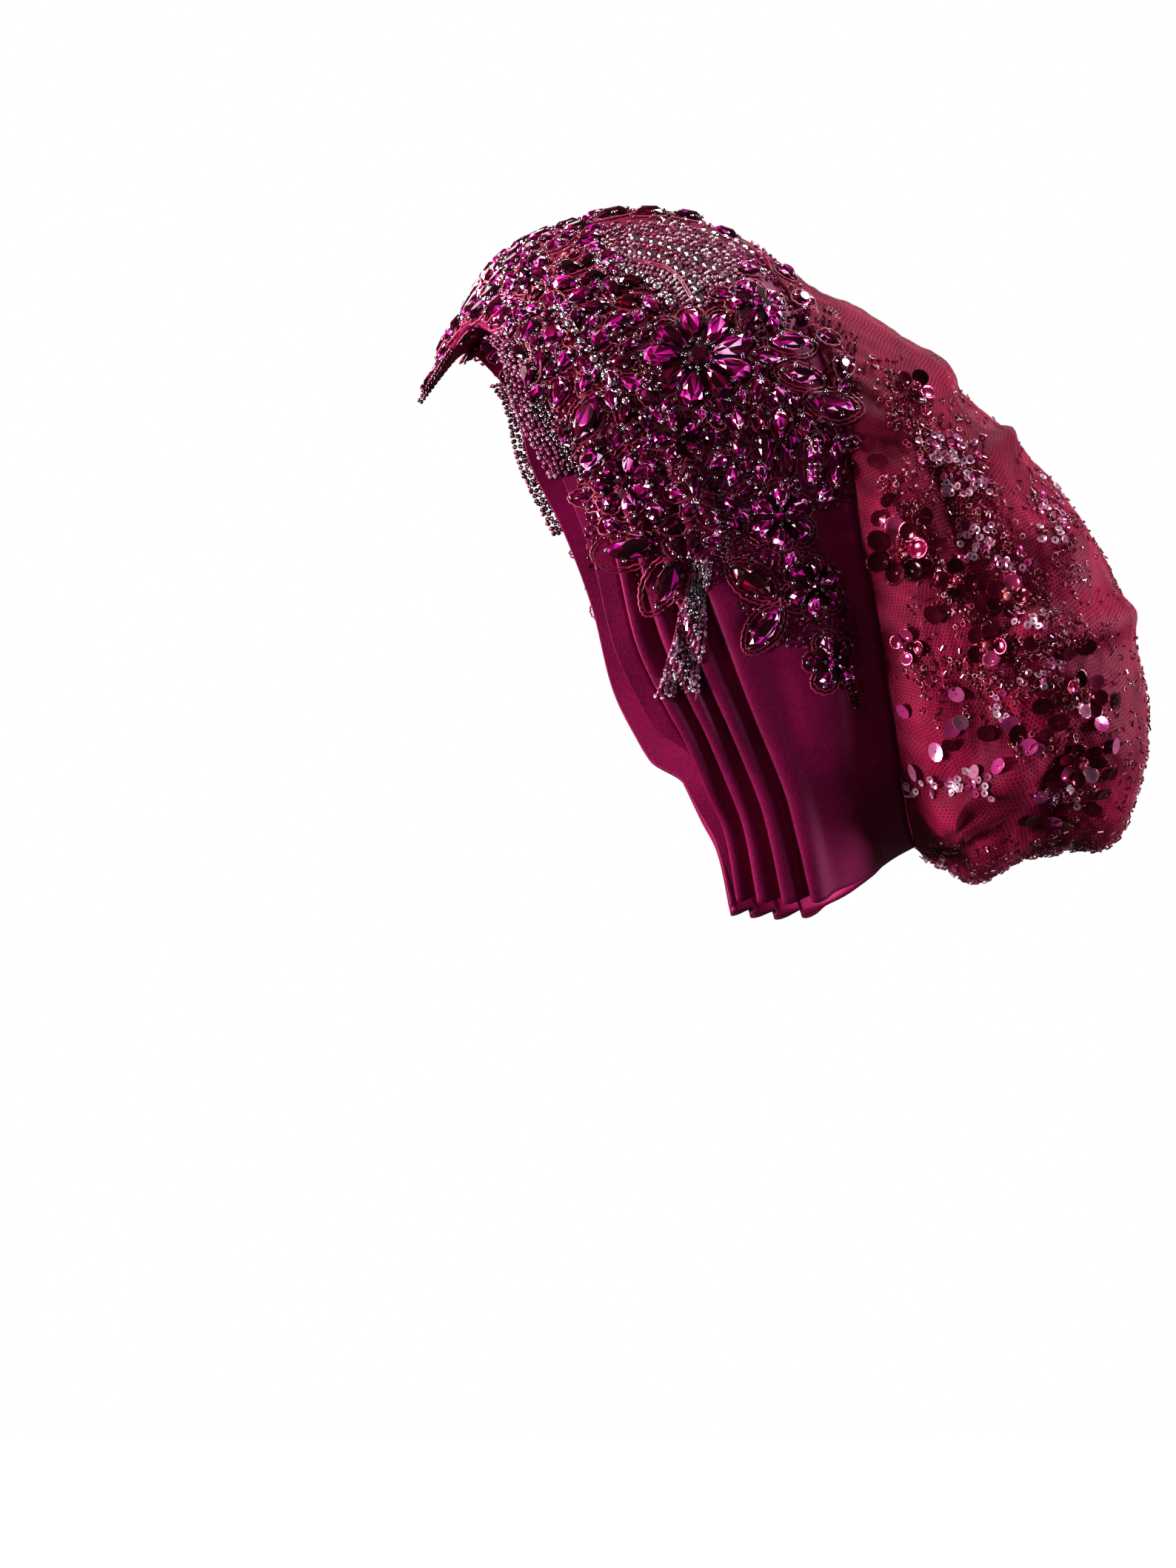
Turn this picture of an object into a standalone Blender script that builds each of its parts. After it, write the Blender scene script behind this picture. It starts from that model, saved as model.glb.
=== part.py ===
"""Slouchy turban: a pleated band, a crown bag under net, and a beaded flower applique.

The tables and sizes are in millimetres and become metres when a mesh is made.
The wearer faces -Y, +Z is up and the wearer's left side is +X.
The origin is the seat on the top of the head, just inside the crown.
"""

import math

import bmesh
import bpy
from mathutils import Matrix, Vector
from mathutils.bvhtree import BVHTree

MM = 0.001

# Cloth thicknesses, the gap between pieces and the distance under which mesh points are one
BAND_CLOTH = 1.8
BAG_CLOTH = 1.6
NET_CLOTH = 0.8
PATCH_CLOTH = 1.0
PIECE_GAP = 0.4
SAME_POINT = 0.02
SHARP_ANGLE = 35.0

# Pleats of the band: three folds behind the rim strip, then the plain panel
PLEATS = 3
PLEAT_RISE = 2.0
PLEAT_EDGE = 0.03
PANEL_FALL = 0.30
HEM_TIP = 2.2

# Strip in front of the first pleat: its width, and where along the rim it tucks in
RIM_STRIP = 8.0
RIM_TURN = 0.9
NOTCH_AT = 0.775
NOTCH_LENGTH = 0.02

# Rows of the band's mesh on each side, those that the beaded net covers, and the bag's columns
BAND_ROWS = 14
PATCH_ROWS = 6
BAG_COLUMNS = 11

# Places across the band where its mesh has a line of points, in front of and behind the pleats
RIM_PLACES = [-1.0, -0.45]
PANEL_PLACES = [1.14, 1.3, 1.5, 1.7, 1.85, 2.0]

# Point from which the ornaments' places are seen: level with the chin, far to the left side
VIEWER = Vector((2000.0, -12.0, -361.0))
HEAD_CENTRE = Vector((0.0, 20.0, -95.0))
ON_MIDDLE = 0.5
SIDES = {"left": 1.0, "right": -1.0}

# How an ornament feels for the cloth below it: rings of probes, and the reach of each
PROBE_RINGS = [(0.0, 1), (1.6, 6), (3.0, 10)]
STIFF_RINGS = [(0.0, 1), (1.0, 6)]
PROBE_START = 20.0
PROBE_REACH = 45.0
SLOPE_RADIUS = 6.0
SLOPE_PROBES = 6
STIFF_SHARES = (0.0, 0.35, 0.7, 1.0)

# Lines of the band from the top centre down to the hem: (back, up, out)
BAND_LINES = {
    "rim_fold": [
        (-58.0, -42.0, 0.0), (-50.0, -35.0, 24.0), (-43.0, -38.0, 43.0), (-32.0, -50.0, 59.0),
        (-26.0, -72.0, 69.0), (-14.0, -96.0, 75.0), (-3.0, -125.0, 77.0), (5.0, -157.0, 73.0),
        (15.0, -178.0, 68.0), (21.0, -188.0, 64.0), (30.0, -206.0, 55.0), (36.0, -218.0, 49.0),
        (41.0, -241.0, 38.0),
    ],
    "last_fold": [
        (-37.0, -11.0, 0.0), (-27.0, -17.0, 30.0), (-13.0, -36.0, 57.0), (2.0, -63.0, 72.0),
        (15.0, -94.0, 78.0), (25.0, -125.0, 79.0), (37.0, -157.0, 74.0), (47.0, -182.0, 66.0),
        (57.0, -206.0, 58.0), (61.0, -221.0, 52.0), (66.0, -242.0, 42.0),
    ],
    "panel": [
        (0.0, 2.5, 0.0), (7.0, -6.0, 30.0), (24.0, -33.0, 58.0), (40.0, -68.0, 73.0),
        (52.0, -102.0, 78.0), (61.0, -135.0, 78.0), (69.0, -165.0, 72.0), (75.0, -192.0, 62.0),
        (79.0, -213.0, 50.0), (82.0, -236.0, 31.0),
    ],
    "nape": [
        (21.0, 0.5, 0.0), (27.0, -6.0, 27.0), (45.0, -31.0, 55.0), (58.0, -62.0, 70.0),
        (69.0, -98.0, 76.0), (76.0, -130.0, 76.0), (82.0, -160.0, 70.0), (88.0, -188.0, 59.0),
        (91.0, -207.0, 46.0), (94.0, -221.0, 25.0), (96.0, -225.5, 0.0),
    ],
    "seam": [
        (37.0, -5.0, 0.0), (42.0, -10.0, 25.0), (56.0, -31.0, 50.0), (69.0, -58.0, 66.0),
        (77.0, -87.0, 72.0), (82.0, -114.0, 74.0), (88.0, -144.0, 70.0), (93.0, -172.0, 62.0),
        (97.0, -196.0, 50.0), (101.0, -213.0, 32.0), (103.5, -221.0, 0.0),
    ],
}
LINE_PLACE = {"rim_fold": 0.0, "last_fold": 1.0, "panel": 1.5, "nape": 1.8, "seam": 2.0}
SEAM = LINE_PLACE["seam"]

# Cross-sections of the crown bag behind the seam, from the band to the tail
BAG_SECTIONS = [
    {"top_back": 76, "top_up": -34, "low_back": 116, "low_up": -227, "half_width": 79, "bow": 15},
    {"top_back": 115, "top_up": -66, "low_back": 126, "low_up": -232, "half_width": 80, "bow": 14},
    {"top_back": 144, "top_up": -91, "low_back": 142, "low_up": -224, "half_width": 74, "bow": 10},
    {"top_back": 167, "top_up": -124, "low_back": 160, "low_up": -221, "half_width": 60, "bow": 6},
    {"top_back": 181, "top_up": -158, "low_back": 175, "low_up": -216, "half_width": 36, "bow": 2},
]
BAG_TAIL = (186.0, -189.0)
BAG_PLACES = [0.0, 0.2, 0.46, 0.64, 0.8, 0.92, 1.0]
SECTION_FULLNESS = 0.85
SEAM_BLEND = 0.12

# Folds of the bag as seen from the side: a line, its half width and how far it stands out.
# They fade at the middle of the head and at both ends of the bag, and the net dips less in them.
FOLD_FADE = (4.0, 24.0)
FOLD_START = 0.14
FOLD_END = 0.9
NET_DIP = 0.55
BAG_FOLDS = [
    {"from": (84, -34), "to": (130, -90), "width": 9, "height": 3.5},
    {"from": (130, -90), "to": (154, -128), "width": 9, "height": 3.5},
    {"from": (119, -68), "to": (146, -112), "width": 7, "height": -6.0},
    {"from": (102, -92), "to": (126, -142), "width": 9, "height": -3.5},
    {"from": (140, -154), "to": (172, -146), "width": 7, "height": 3.0},
    {"from": (136, -166), "to": (168, -160), "width": 6, "height": -3.5},
    {"from": (114, -221), "to": (124, -215), "width": 6, "height": 3.0},
    {"from": (120, -217), "to": (144, -200), "width": 7, "height": 4.0},
    {"from": (122, -224), "to": (146, -212), "width": 6, "height": -4.5},
    {"from": (118, -176), "to": (146, -196), "width": 7, "height": -3.5},
    {"from": (160, -200), "to": (150, -219), "width": 7, "height": -3.0},
]

# Flowers of cut stones: seen place, petals, spread, and whether the right side has its twin
STONE_FLOWERS = [
    {"name": "flower_main", "back": 28, "up": -46, "petals": 9, "spread": 19, "core": 4.6, "twin": True},
    {"name": "flower_upper", "back": 49, "up": -27, "petals": 5, "spread": 10, "core": 2.4, "twin": False},
    {"name": "flower_middle", "back": 20, "up": -76, "petals": 5, "spread": 9, "core": 2.2, "twin": False},
    {"name": "flower_temple", "back": 1, "up": -92, "petals": 7, "spread": 11, "core": 2.4, "twin": False},
    {"name": "flower_rear", "back": 57, "up": -104, "petals": 6, "spread": 11, "core": 2.4, "twin": False},
    {"name": "flower_low", "back": 69, "up": -129, "petals": 6, "spread": 10, "core": 2.2, "twin": False},
    {"name": "flower_tail", "back": 75, "up": -156, "petals": 5, "spread": 9, "core": 2.2, "twin": False},
    {"name": "flower_brow", "back": -34, "up": -17, "petals": 6, "spread": 10, "core": 2.6, "twin": True},
]

# Large leaf-shaped stones: seen place, half length, half breadth and tilt in degrees
LEAF_STONES = [
    {"name": "leaf_front", "back": 1, "up": -116, "long": 10, "broad": 4.6, "tilt": 12, "twin": True},
    {"name": "leaf_down", "back": 14, "up": -128, "long": 9.5, "broad": 3.8, "tilt": 62, "twin": True},
    {"name": "leaf_red", "back": 47, "up": -127, "long": 8.5, "broad": 3.8, "tilt": -35, "twin": False},
    {"name": "leaf_rear", "back": 51, "up": -144, "long": 8, "broad": 3.6, "tilt": 52, "twin": False},
    {"name": "leaf_temple", "back": -12, "up": -68, "long": 8.5, "broad": 4.2, "tilt": 65, "twin": True},
    {"name": "leaf_fan_1", "back": 61, "up": -41, "long": 7, "broad": 3.0, "tilt": 5, "twin": False},
    {"name": "leaf_fan_2", "back": 65, "up": -53, "long": 7, "broad": 3.0, "tilt": -8, "twin": False},
    {"name": "leaf_fan_3", "back": 76, "up": -64, "long": 8, "broad": 3.8, "tilt": -12, "twin": False},
    {"name": "leaf_drop_1", "back": 69, "up": -83, "long": 8, "broad": 2.2, "tilt": 90, "twin": False},
    {"name": "leaf_drop_2", "back": 77, "up": -84, "long": 8, "broad": 2.2, "tilt": 90, "twin": False},
]

# Flat tassel of beads that hangs over the pleats: its ends as seen, and the width of both
TASSEL = {"from": (24, -119), "to": (22, -168), "start": 5.0, "end": 13.0, "thick": 2.2, "steps": 7}

# Beaded edge over the rim strip, and the beaded point below the rim on the forehead
BEAD_EDGE = {"rows": (3, 6), "places": (-1.45, -1.0, -0.52), "thick": 2.4}
BROW_POINT = {"places": (-1.06, -1.7, -2.4, -3.1), "shares": (0.045, 0.03, 0.017, 0.004), "thick": 2.4}

# Cut stones: pad below them, height over the pad, share of the outline kept by the table
STONE_PAD = 1.2
STONE_RISE = 2.8
STONE_TABLE = 0.5
STONE_SIDES = 8
LEAF_SIDES = 10
LEAF_POINT = 0.25

# Flowers of stones: share of the spread under the pad, and the shape of a pear-cut petal
PAD_SIDES = 10
PAD_SHARE = 0.86
PAD_BORDER = 1.6
PETAL_START = 0.5
PETAL_ASPECT = 0.42
PETAL_CROWDING = 0.68
PEAR_WAIST = 0.75
PEAR_FLARE = 0.4

# Sequin flowers: notch between petals, rise of the tips, thickness, bead dome and narrow foot
SEQUIN = {"waist": 0.62, "cup": 2.2, "thick": 0.7, "dome": 3.0, "foot": 0.3, "well": 1.0}

# Cupped sequin flowers on the net: seen place, petals and spread
SEQUIN_FLOWERS = [
    {"name": "sequin_flower_a", "back": 105, "up": -58, "petals": 5, "spread": 8, "twin": True},
    {"name": "sequin_flower_b", "back": 100, "up": -116, "petals": 7, "spread": 12.5, "twin": True},
    {"name": "sequin_flower_c", "back": 120, "up": -127, "petals": 4, "spread": 8, "twin": False},
    {"name": "sequin_flower_d", "back": 139, "up": -133, "petals": 5, "spread": 8.5, "twin": True},
    {"name": "sequin_flower_e", "back": 131, "up": -150, "petals": 5, "spread": 8, "twin": False},
    {"name": "sequin_flower_f", "back": 103, "up": -150, "petals": 4, "spread": 7, "twin": False},
    {"name": "sequin_flower_g", "back": 165, "up": -168, "petals": 7, "spread": 9.5, "twin": True},
    {"name": "sequin_flower_h", "back": 164, "up": -192, "petals": 7, "spread": 9.5, "twin": False},
]


def clear_scene():
    for thing in list(bpy.data.objects):
        bpy.data.objects.remove(thing, do_unlink=True)


def finish(name, colour, roughness, metallic=0.0):
    """One Principled material of a plain colour."""
    material = bpy.data.materials.new(name)
    material.use_nodes = True
    shader = material.node_tree.nodes["Principled BSDF"]
    shader.inputs["Base Color"].default_value = (*colour, 1.0)
    shader.inputs["Roughness"].default_value = roughness
    shader.inputs["Metallic"].default_value = metallic
    return material


def smoothstep(low, high, value):
    share = min(1.0, max(0.0, (value - low) / (high - low)))
    return share * share * (3.0 - 2.0 * share)


def curve_through(keys, values, key):
    """Smooth curve through values at rising keys, with slopes from the neighbours."""
    last = len(keys) - 1
    span = 0
    while span < last - 1 and key > keys[span + 1]:
        span += 1

    def slope(index):
        before = max(index - 1, 0)
        after = min(index + 1, last)
        return (values[after] - values[before]) / (keys[after] - keys[before])

    width = keys[span + 1] - keys[span]
    u = (key - keys[span]) / width
    start = values[span] * (2 * u**3 - 3 * u**2 + 1) + slope(span) * (width * (u**3 - 2 * u**2 + u))
    end = values[span + 1] * (3 * u**2 - 2 * u**3) + slope(span + 1) * (width * (u**3 - u**2))
    return start + end


def mirrored(point):
    return Vector((-point.x, point.y, point.z))


def place_rows(rows):
    """Rows (back, up, out) as points, each with its share of the line's length."""
    points = [Vector((out, back, up)) for back, up, out in rows]
    if points[-1].x == 0.0:
        points.append(mirrored(points[-2]))
        closing = 1
    else:
        closing = 0
    points.insert(0, mirrored(points[1]))
    keys = [0.0]
    for before, after in zip(points, points[1:]):
        keys.append(keys[-1] + (after - before).length)
    start = keys[1]
    length = keys[-1 - closing] - start
    return [(key - start) / length for key in keys], points


LINES = {name: place_rows(rows) for name, rows in BAND_LINES.items()}


def line_point(name, share):
    """Point on one of the band's lines."""
    keys, points = LINES[name]
    return curve_through(keys, points, share)


def rim_width(share):
    """Width of the strip in front of the first fold, which ends at the notch."""
    tucked = smoothstep(NOTCH_AT, NOTCH_AT + NOTCH_LENGTH, share)
    return RIM_STRIP * (1.0 - tucked) + RIM_TURN * tucked


def sheet_point(share, place):
    """Inner face of the band: share runs down a line, place runs from the rim to the seam."""
    places = list(LINE_PLACE.values())
    points = [line_point(name, share) for name in LINE_PLACE]
    if place >= 0.0:
        point = curve_through(places, points, place)
        point.x = max(point.x, 0.0)
        return point
    step = 0.02
    ahead = points[0] - curve_through(places, points, step)
    return points[0] + ahead.normalized() * rim_width(share) * (-place)


def outward(surface, share, place, first, last):
    """Unit normal of a surface between its first and last place, pointing away from the head."""
    step = 0.01
    down = surface(min(share + step, 1.0), place) - surface(max(share - step, 0.0), place)
    back = surface(share, min(place + step, last)) - surface(share, max(place - step, first))
    normal = down.cross(back)
    here = surface(share, place)
    if abs(here.x) < ON_MIDDLE:
        normal.x = 0.0
    if normal.dot(here - HEAD_CENTRE) < 0.0:
        normal.negate()
    return normal.normalized()


def band_normal(share, place):
    return outward(sheet_point, share, place, -math.inf, SEAM)


def band_face(depth):
    """Face that lies a depth outside the band's inner face."""

    def face(share, place):
        return sheet_point(share, place) + band_normal(share, place) * depth

    return face


def pleat_rise(share, place):
    """Height of the knife pleats, whose folded edges face the rim."""
    rise = 0.0
    for fold in range(PLEATS + 1):
        behind = place - fold / PLEATS
        fall = PANEL_FALL if fold == PLEATS else 1.0 / PLEATS
        if -PLEAT_EDGE < behind < fall:
            rise = smoothstep(-PLEAT_EDGE, PLEAT_EDGE, behind) * min(1.0, 1.0 - behind / fall)
    covered = PATCH_ROWS / BAND_ROWS
    return PLEAT_RISE * rise * smoothstep(covered, covered + 2.0 / BAND_ROWS, share)


def hem_tip(place):
    """How far the hem drops at the folded edge of each pleat."""
    if place > 1.0 + PLEAT_EDGE:
        return HEM_TIP * max(0.0, 1.0 - (place - 1.0) / PANEL_FALL)
    behind = (place * PLEATS) % 1.0
    return HEM_TIP * (1.0 - behind) if place > 0.0 else 0.0


def bag_ring(section, share):
    """Point on one cross-section of the bag; share runs from its top to its foot."""
    top = Vector((0.0, section["top_back"], section["top_up"]))
    low = Vector((0.0, section["low_back"], section["low_up"]))
    arm = (top - low) / 2.0
    behind = Vector((0.0, -arm.z, arm.y)).normalized()
    if behind.y < 0.0:
        behind.negate()
    turn = math.pi * share
    middle = (top + low) / 2.0 + arm * math.cos(turn) + behind * section["bow"] * math.sin(turn)
    return middle + Vector((section["half_width"] * math.sin(turn) ** SECTION_FULLNESS, 0.0, 0.0))


def seam_edge(share):
    """Where the bag starts: a small gap behind the band's seam."""
    seam = sheet_point(share, SEAM)
    step = 0.02
    along = seam - sheet_point(share, SEAM - step)
    return seam + along.normalized() * PIECE_GAP


def bag_point(share, place):
    """Smooth form of the bag, from the seam at place 0 to the tail at place 1."""
    rings = [seam_edge(share)]
    rings += [bag_ring(section, share) for section in BAG_SECTIONS]
    rings.append(Vector((0.0, *BAG_TAIL)))
    return curve_through(BAG_PLACES, rings, place)


def bag_normal(share, place):
    """Outward normal of the bag, which leaves the seam along the band's own."""
    behind = smoothstep(0.0, SEAM_BLEND, place)
    own = outward(bag_point, share, place, 0.0, 1.0)
    return (own * behind + band_normal(share, SEAM) * (1.0 - behind)).normalized()


def distance_to_line(back, up, start, end):
    along = Vector(end) - Vector(start)
    reach = Vector((back, up)) - Vector(start)
    share = min(1.0, max(0.0, reach.dot(along) / along.length_squared))
    return (reach - along * share).length


def fold_relief(point, net):
    """Height of the bag's folds at a point; the net dips less than the cloth below it."""
    height = 0.0
    for fold in BAG_FOLDS:
        away = distance_to_line(point.y, point.z, fold["from"], fold["to"])
        height += fold["height"] * math.exp(-((away / fold["width"]) ** 2))
    if net and height < 0.0:
        height *= NET_DIP
    return height * smoothstep(*FOLD_FADE, abs(point.x))


def shares(count):
    """Even steps from 0 to 1, both included."""
    return [index / count for index in range(count + 1)]


def both_sides(downs):
    """Rows of shares over the whole head: the right side's are below zero."""
    return [-down for down in reversed(downs[1:])] + list(downs)


def side_point(surface, row, place):
    point = surface(abs(row), place)
    return mirrored(point) if row < 0.0 else point


def shell_grid(inner, outer, rows, places, pole=False):
    """Closed shell between two faces, each a point for a share and a place."""
    mesh = bmesh.new()
    low, high = (
        [[mesh.verts.new(side_point(surface, row, place) * MM) for place in places] for row in rows]
        for surface in (inner, outer)
    )
    tall = len(rows) - 1
    wide = len(places) - 1
    for grid in (low, high):
        for i in range(tall):
            halves = ([0, 1, 2], [0, 2, 3]) if rows[i] < 0.0 else ([0, 1, 3], [1, 2, 3])
            for j in range(wide):
                corners = [grid[i][j], grid[i + 1][j], grid[i + 1][j + 1], grid[i][j + 1]]
                for half in halves:
                    face = [corners[index] for index in half]
                    mesh.faces.new(face if grid is high else face[::-1])
    for i in range(tall):
        mesh.faces.new([low[i][0], low[i + 1][0], high[i + 1][0], high[i][0]])
        if not pole:
            mesh.faces.new([high[i][-1], high[i + 1][-1], low[i + 1][-1], low[i][-1]])
    for j in range(wide):
        for end in (0, tall):
            middle = (low[end][j].co + low[end][j + 1].co) / 2.0
            if abs(middle.x) > ON_MIDDLE * MM:
                face = [low[end][j], high[end][j], high[end][j + 1], low[end][j + 1]]
                mesh.faces.new(face if end == 0 else face[::-1])
    tidy_mesh(mesh)
    return mesh


def face_out(mesh):
    """Turn all faces of a closed mesh outwards."""
    bmesh.ops.recalc_face_normals(mesh, faces=mesh.faces)
    if mesh.calc_volume(signed=True) < 0.0:
        bmesh.ops.reverse_faces(mesh, faces=mesh.faces)


def tidy_mesh(mesh):
    """Join points that meet, and drop the faces that had no area."""
    bmesh.ops.remove_doubles(mesh, verts=mesh.verts, dist=SAME_POINT * MM)
    bmesh.ops.dissolve_degenerate(mesh, edges=mesh.edges, dist=SAME_POINT / 2.0 * MM)
    face_out(mesh)


def add_object(name, mesh, material):
    data = bpy.data.meshes.new(name)
    mesh.to_mesh(data)
    mesh.free()
    data.materials.append(material)
    data.shade_smooth()
    data.set_sharp_from_angle(angle=math.radians(SHARP_ANGLE))
    thing = bpy.data.objects.new(name, data)
    bpy.context.collection.objects.link(thing)
    return thing


def band_outer(share, place):
    lift = BAND_CLOTH + pleat_rise(share, place)
    return sheet_point(share, place) + band_normal(share, place) * lift


def with_hem_tips(face):
    """The face with its lowest row dropped at each pleat."""

    def dropped(share, place):
        point = face(share, place)
        if share == 1.0:
            point = point + Vector((0.0, 0.0, -hem_tip(place)))
        return point

    return dropped


def pleat_places():
    """Places across the band's mesh, with one on each side of every folded edge."""
    places = [*RIM_PLACES, -PLEAT_EDGE]
    for fold in range(PLEATS):
        front = fold / PLEATS
        back = (fold + 1) / PLEATS
        places += [front + PLEAT_EDGE, (front + back) / 2.0, back - PLEAT_EDGE]
    return [*places, 1.0 + PLEAT_EDGE, *PANEL_PLACES]


def band_shares():
    """Shares down the band, with rows of their own at the notch."""
    even = [share for share in shares(BAND_ROWS) if abs(share - NOTCH_AT) > 1.5 * NOTCH_LENGTH]
    return sorted(even + [NOTCH_AT, NOTCH_AT + NOTCH_LENGTH])


def make_pleated_band(cloth):
    inner = with_hem_tips(sheet_point)
    outer = with_hem_tips(band_outer)
    mesh = shell_grid(inner, outer, both_sides(band_shares()), pleat_places())
    return add_object("pleated_band", mesh, cloth)


def bag_surface(depth, net):
    """Face of the bag or of its net, a depth outside the smooth form."""

    def face(share, place):
        point = bag_point(share, place)
        if place == 1.0:
            return point + Vector((0.0, depth, 0.0))
        relief = fold_relief(point, net)
        relief *= smoothstep(0.0, FOLD_START, place) * smoothstep(1.0, FOLD_END, place)
        return point + bag_normal(share, place) * (relief + depth)

    return face


def bag_shell(low, thick, net):
    """Closed shell over the bag, from the seam to one point at the tail."""
    inner = bag_surface(low, net)
    outer = bag_surface(low + thick, net)
    return shell_grid(inner, outer, both_sides(band_shares()), shares(BAG_COLUMNS), pole=True)


def make_crown_bag(cloth):
    return add_object("crown_bag", bag_shell(0.0, BAG_CLOTH, net=False), cloth)


def make_net_drape(net):
    return add_object("net_drape", bag_shell(BAG_CLOTH + PIECE_GAP, NET_CLOTH, net=True), net)


def make_applique_net(net):
    """Net over the front of the band, on the band's own rows and places so that both fit."""
    low = BAND_CLOTH + PIECE_GAP
    rows = both_sides(shares(BAND_ROWS)[: PATCH_ROWS + 1])
    mesh = shell_grid(band_face(low), band_face(low + PATCH_CLOTH), rows, pleat_places()[1:-1])
    return add_object("applique_net", mesh, net)


def make_bead_edges(beads):
    """Beaded strip over the rim, on each side of the forehead."""
    first, last = BEAD_EDGE["rows"]
    rows = shares(BAND_ROWS)[first : last + 1]
    low = BAND_CLOTH + PIECE_GAP
    for side, sign in SIDES.items():
        side_rows = [sign * row for row in rows]
        mesh = shell_grid(
            band_face(low), band_face(low + BEAD_EDGE["thick"]), side_rows, BEAD_EDGE["places"]
        )
        add_object(f"bead_edge_{side}", mesh, beads)


def make_brow_point(beads):
    """Tapered beaded point in front of the rim, on the forehead's middle line."""
    places = BROW_POINT["places"]

    def face(depth):
        def point(share, place):
            down = share * curve_through(places[::-1], BROW_POINT["shares"][::-1], place)
            return band_face(depth)(down, place)

        return point

    mesh = shell_grid(face(0.0), face(BROW_POINT["thick"]), [-1.0, -0.5, 0.0, 0.5, 1.0], places)
    add_object("brow_point", mesh, beads)


def carrier_tree(things):
    """Search tree of the cloth that carries the ornaments, in millimetres."""
    points = []
    faces = []
    for thing in things:
        start = len(points)
        points += [vertex.co / MM for vertex in thing.data.vertices]
        faces += [[start + index for index in face.vertices] for face in thing.data.polygons]
    return BVHTree.FromPolygons(points, faces)


class Seat:
    """Place on the cloth where an ornament sits, with its own flat directions."""

    def __init__(self, tree, back, up, tilt=0.0):
        self.tree = tree
        aim = Vector((0.0, back, up)) - VIEWER
        spot, normal, _, _ = tree.ray_cast(VIEWER, aim.normalized())
        self.spot = spot
        self.normal = self.mean_normal(spot, normal)
        across = Vector((0.0, math.cos(tilt), math.sin(tilt)))
        self.across = (across - self.normal * across.dot(self.normal)).normalized()
        self.along = self.normal.cross(self.across)

    def mean_normal(self, spot, normal):
        """Normal of the cloth around a spot, so that one facet doesn't tilt the seat."""
        total = Vector(normal)
        side = normal.orthogonal().normalized()
        for x, y in round_outline(SLOPE_RADIUS, SLOPE_PROBES):
            _, near, _, _ = self.tree.find_nearest(spot + side * x + normal.cross(side) * y)
            total += near if near.dot(normal) > 0.0 else -near
        return total.normalized()

    def cloth_height(self, across, along, rings):
        """Highest cloth around a point of the seat, measured along its normal."""
        heights = []
        for radius, count in rings:
            for x, y in round_outline(radius, count):
                start = self.spot + self.across * (across + x) + self.along * (along + y)
                above = start + self.normal * PROBE_START
                hit, _, _, _ = self.tree.ray_cast(above, -self.normal, PROBE_REACH)
                if hit is not None:
                    heights.append((hit - self.spot).dot(self.normal))
        return max(heights, default=0.0)

    def place(self, mesh, stiff):
        """Lay a flat ornament on the cloth, a small gap clear of it: bent, or whole if stiff."""
        reach = [
            self.cloth_height(vertex.co.x * share, vertex.co.y * share, STIFF_RINGS)
            for vertex in mesh.verts if stiff and vertex.co.z == 0.0
            for share in STIFF_SHARES
        ]
        for vertex in mesh.verts:
            across, along, rise = vertex.co
            cloth = max(reach) if stiff else self.cloth_height(across, along, PROBE_RINGS)
            lift = self.normal * (cloth + PIECE_GAP + rise)
            vertex.co = (self.spot + self.across * across + self.along * along + lift) * MM
        face_out(mesh)


def ring_points(outline, scale, height):
    return [Vector((x * scale, y * scale, height)) for x, y in outline]


def stack_rings(rings, low_centre=None, high_centre=None):
    """Closed body through rings of equal counts, capped by a face or a fan at each end."""
    mesh = bmesh.new()
    layers = [[mesh.verts.new(point) for point in ring] for ring in rings]
    for lower, upper in zip(layers, layers[1:]):
        count = len(lower)
        for index in range(count):
            after = (index + 1) % count
            mesh.faces.new([lower[index], lower[after], upper[after], upper[index]])
    for ring, centre in ((layers[0], low_centre), (layers[-1], high_centre)):
        if centre is None:
            mesh.faces.new(ring)
        else:
            middle = mesh.verts.new(centre)
            for index in range(len(ring)):
                mesh.faces.new([ring[index], ring[(index + 1) % len(ring)], middle])
    face_out(mesh)
    return mesh


def leaf_outline(half_long, half_broad):
    """Pointed oval, as a marquise stone is cut."""
    outline = []
    for index in range(LEAF_SIDES):
        angle = math.tau * index / LEAF_SIDES
        x = math.cos(angle)
        outline.append((half_long * x, half_broad * math.sin(angle) * (1.0 - LEAF_POINT * x * x)))
    return outline


def pear_outline(start, end, half_broad):
    """Pear stone that points at the flower's centre."""
    middle = (start + end) / 2.0
    half = (end - start) / 2.0
    outline = []
    for index in range(STONE_SIDES):
        angle = math.tau * index / STONE_SIDES
        x = math.cos(angle)
        outline.append((middle + half * x, half_broad * math.sin(angle) * (PEAR_WAIST + PEAR_FLARE * x)))
    return outline


def cut_stone(outline):
    """Stone with a flat table and a facet for each side of its outline."""
    middle = sum((Vector(point) for point in outline), Vector((0.0, 0.0))) / len(outline)
    foot = [Vector((x, y, STONE_PAD / 2.0)) for x, y in outline]
    table = [
        Vector((*(middle + (Vector(point) - middle) * STONE_TABLE), STONE_PAD + STONE_RISE))
        for point in outline
    ]
    return stack_rings([foot, table])


def turned(mesh, angle):
    bmesh.ops.rotate(mesh, verts=mesh.verts, cent=(0.0, 0.0, 0.0), matrix=Matrix.Rotation(angle, 3, "Z"))
    return mesh


def scratch_object(mesh):
    """Working object that isn't part of the turban."""
    data = bpy.data.meshes.new("scratch")
    mesh.to_mesh(data)
    mesh.free()
    thing = bpy.data.objects.new("scratch", data)
    thing.hide_render = True
    thing.display_type = "WIRE"
    return thing


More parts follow.
